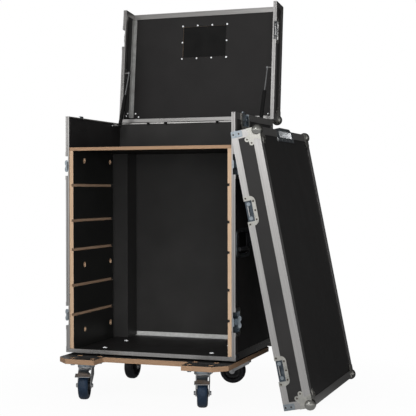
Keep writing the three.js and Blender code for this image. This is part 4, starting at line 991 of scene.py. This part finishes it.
for body in ("case", "lid", "cover"):
    balls, ears = bmesh.new(), bmesh.new()
    heads = []
    for owner, place, corner, toward in corner_places:
        if owner != body:
            continue
        put = place @ Matrix.Translation(Vector(corner) + ball_set * Vector(toward))
        bmesh.ops.create_uvsphere(
            balls, u_segments=40, v_segments=24, radius=ball_radius, matrix=put,
        )
        for axis in range(3):
            directions = [Vector((0, 0, 0)) for _ in range(3)]
            for direction, i, way in zip(directions, (axis, axis + 1, axis + 2), (1, 1, -1)):
                direction[i % 3] = way * toward[i % 3]
            ear_seat = seat(place, corner, *directions)
            lobes, root = ear_lobes, ear_root
            if body == "cover" and axis == 2:
                lobes, root = [[(b, a) for a, b in points] for points in (lobes, root)]
            ear(ears, ear_seat, lobes, root)
            heads += on_seat(ear_seat, lobes, ear_sheet)
    made(f"{body}_balls", balls, body, polished_ball, 60)
    bmesh.ops.recalc_face_normals(ears, faces=ears.faces)
    made(f"{body}_ears", ears, body, cream_zinc, 30)
    studs(f"{body}_corner_rivets", heads, body, dark_rivet, 3.2, 1.2)
tails = []
for sign in (-1, 1):
    for a, b in ear_lobes:
        top = Vector((sign * (half_width - a), -hinge_set - b, lid_height - wall_inner))
        wall = Vector((sign * (half_width - wall_inner), -hinge_set - a, lid_height - b))
        tails += [(LID @ top, inside), (LID @ wall, LID.to_3x3() @ Vector((-sign, 0, 0)))]
studs("lid_corner_rivet_tails", tails, "lid", pale_metal_and_painted_reflection, 3.6, 2.0)


# %% [markdown]
# Where a rim meets another at the front, a small two-rivet brace ties the joint. A brace is a
# plate with cut corners: a flat block whose four upright edges are bevelled.

# %% Corner braces
brace_long, brace_wide = (0.5, 40), (0.5, 22.5)
brace_sheet, brace_corner = 1.4, 2.5
brace_points = [(8, 11), (28, 11)]


def brace(shape, frame_of_seat):
    """A brace that stands out along a seat's Z, and the places of its rivets."""
    done = set(shape.verts)
    (x0, x1), (y0, y1) = brace_long, brace_wide
    block = bmesh.ops.create_cube(shape, size=1)["verts"]
    bmesh.ops.scale(shape, vec=(x1 - x0, y1 - y0, brace_sheet), verts=block)
    bmesh.ops.translate(shape, vec=((x0 + x1) / 2, (y0 + y1) / 2, brace_sheet / 2), verts=block)
    upright = {
        e for v in block for e in v.link_edges
        if abs(e.verts[0].co.z - e.verts[1].co.z) > brace_sheet / 2
    }
    bmesh.ops.bevel(
        shape, geom=list(upright), offset=brace_corner, affect="EDGES", segments=3,
        profile=0.5, material=-1,
    )
    new = [v for v in shape.verts if v not in done]
    bmesh.ops.transform(shape, matrix=frame_of_seat, verts=new)
    return on_seat(frame_of_seat, brace_points, brace_sheet)


seats = {"cover": [], "case": []}
for sign in (-1, 1):
    x, out = sign * half_width, (sign, 0, 0)
    for level, up in ((0, 1), (cover_height, -1)):
        seats["cover"].append(seat(COVER, (x, 0, level), (0, -1, 0), (0, 0, up), out))
    on_end = seat(COVER, (x, 0, cover_height), (-sign, 0, 0), (0, -1, 0), (0, 0, 1))
    seats["cover"].append(on_end)
    seats["case"].append(seat(CASE, (x, 0, 0), (0, 1, 0), (0, 0, 1), out))
for body, places in seats.items():
    braces = bmesh.new()
    heads = [head for place in places for head in brace(braces, place)]
    bmesh.ops.recalc_face_normals(braces, faces=braces.faces)
    made(f"{body}_braces", braces, body, zinc, 30)
    studs(f"{body}_brace_rivets", heads, body, dark_rivet, 3.2, 1.2)


# %% [markdown]
# Small aluminium angles stiffen the inside: one along the foot of the rear wall, and one up each
# side of the lid. Each starts as the two lines of an L, which are pushed along its run and then
# given their thickness.

# %% Inner angles
angle_leg, angle_sheet = 15, 1.5


def inner_angle(name, place, body, start, run, way_a, way_b, material):
    """An angle along run from start, with legs way_a and way_b, in a frame's millimetres."""
    shape = bmesh.new()
    start, run, first, second = (Vector(v) for v in (start, run, way_a, way_b))
    line = [start + angle_leg * first, start, start + angle_leg * second]
    corners = [shape.verts.new(point) for point in line]
    edges = [shape.edges.new(pair) for pair in zip(corners, corners[1:])]
    drawn = bmesh.ops.extrude_edge_only(shape, edges=edges)
    moved = [g for g in drawn["geom"] if isinstance(g, bmesh.types.BMVert)]
    bmesh.ops.translate(shape, vec=run, verts=moved)
    bmesh.ops.recalc_face_normals(shape, faces=shape.faces)
    if sum(f.normal.dot(first + second) for f in shape.faces) < 0:
        bmesh.ops.reverse_faces(shape, faces=shape.faces)
    grown = bmesh.ops.extrude_face_region(shape, geom=shape.faces[:])
    for v in [g for g in grown["geom"] if isinstance(g, bmesh.types.BMVert)]:
        on_first = (v.co - start).dot(first) > angle_sheet
        on_second = (v.co - start).dot(second) > angle_sheet
        shift = second if on_first else first if on_second else first + second
        v.co += shift * angle_sheet
    bmesh.ops.recalc_face_normals(shape, faces=shape.faces)
    bmesh.ops.transform(shape, matrix=place, verts=shape.verts)
    made(name, shape, body, material, 30)
    print(name, "is", run.length, "mm long")


rear_inner = case_depth - wall_inner
inner_angle(
    "rear_foot_angle", CASE, "case", (-245, rear_inner - 0.4, 11.2), (490, 0, 0),
    (0, -1, 0), (0, 0, 1), grey_metal,
)
lid_inner = half_width - wall_inner
for side, sign in (("left", -1), ("right", 1)):
    inner_angle(
        f"lid_inner_angle_{side}", LID, "lid", (sign * (lid_inner - 0.3), -455, lid_height - 11.1),
        (0, 417, 0), (-sign, 0, 0), (0, 0, -1), satin,
    )

# %% [markdown]
# Each strut's bracket has two bright rivets. Four barrels of the lid's hinge show at the top of
# the rear wall, as short dark cylinders that lie along the rim.

# %% Strut bracket rivets and hinge barrels
heads = [
    (
        CASE @ Vector((sign * (half_width - 12.4), strut_back + along, case_height - 12)),
        (-sign, 0, 0),
    )
    for sign in (-1, 1) for along in (-26, 26)
]
studs("strut_bracket_rivets", heads, "case", pale_metal_and_painted_reflection, 3.4, 1.4)
barrel_places = (-191, -116, 105, 180)
barrel_radius, barrel_length = 4, 9
knuckles = bmesh.new()
for x in barrel_places:
    put = CASE @ Matrix.Translation((x, rear_inner - 6.7, case_height - 2.4))
    bmesh.ops.create_cone(
        knuckles, cap_ends=True, segments=20, radius1=barrel_radius, radius2=barrel_radius,
        depth=barrel_length, matrix=put @ Matrix.Rotation(math.pi / 2, 4, "Y"),
    )
made("hinge_knuckles", knuckles, "case", dull_black, 30)
print("hinge barrels:", len(barrel_places))

# %% [markdown]
# Coach bolts hold the castors. Their domed heads lie in bored seats on the board, and a nut under
# each plate holds it. Four more bolts go through the case's floor into the board.

# %% Castor and floor bolts
bolt_radius, nut_radius, nut_height = 8.5, 7.5, 5
bore_floor, nut_level = -12, -30.2
bolt_across, bolt_along = 40, 30
heads, nuts = [], bmesh.new()
for x, y in castor_places.values():
    for across in (-bolt_across, bolt_across):
        for along in (-bolt_along, bolt_along):
            heads.append((CASE @ Vector((x + across, y + along, bore_floor)), (0, 0, 1)))
            put = CASE @ Matrix.Translation((x + across, y + along, nut_level))
            bmesh.ops.create_cone(
                nuts, cap_ends=True, segments=6, radius1=nut_radius, radius2=nut_radius,
                depth=nut_height, matrix=put,
            )
studs("castor_bolt_heads", heads, "case", zinc, bolt_radius, 3.4)
made("castor_nuts", nuts, "case", zinc, 30)
floor_bolts = [(sign * 212, back) for sign in (-1, 1) for back in (85, 280)]
heads = [(CASE @ Vector((x, y, wall_inner)), (0, 0, 1)) for x, y in floor_bolts]
studs("floor_bolt_heads", heads, "case", pale_metal_and_painted_reflection, bolt_radius, 3)
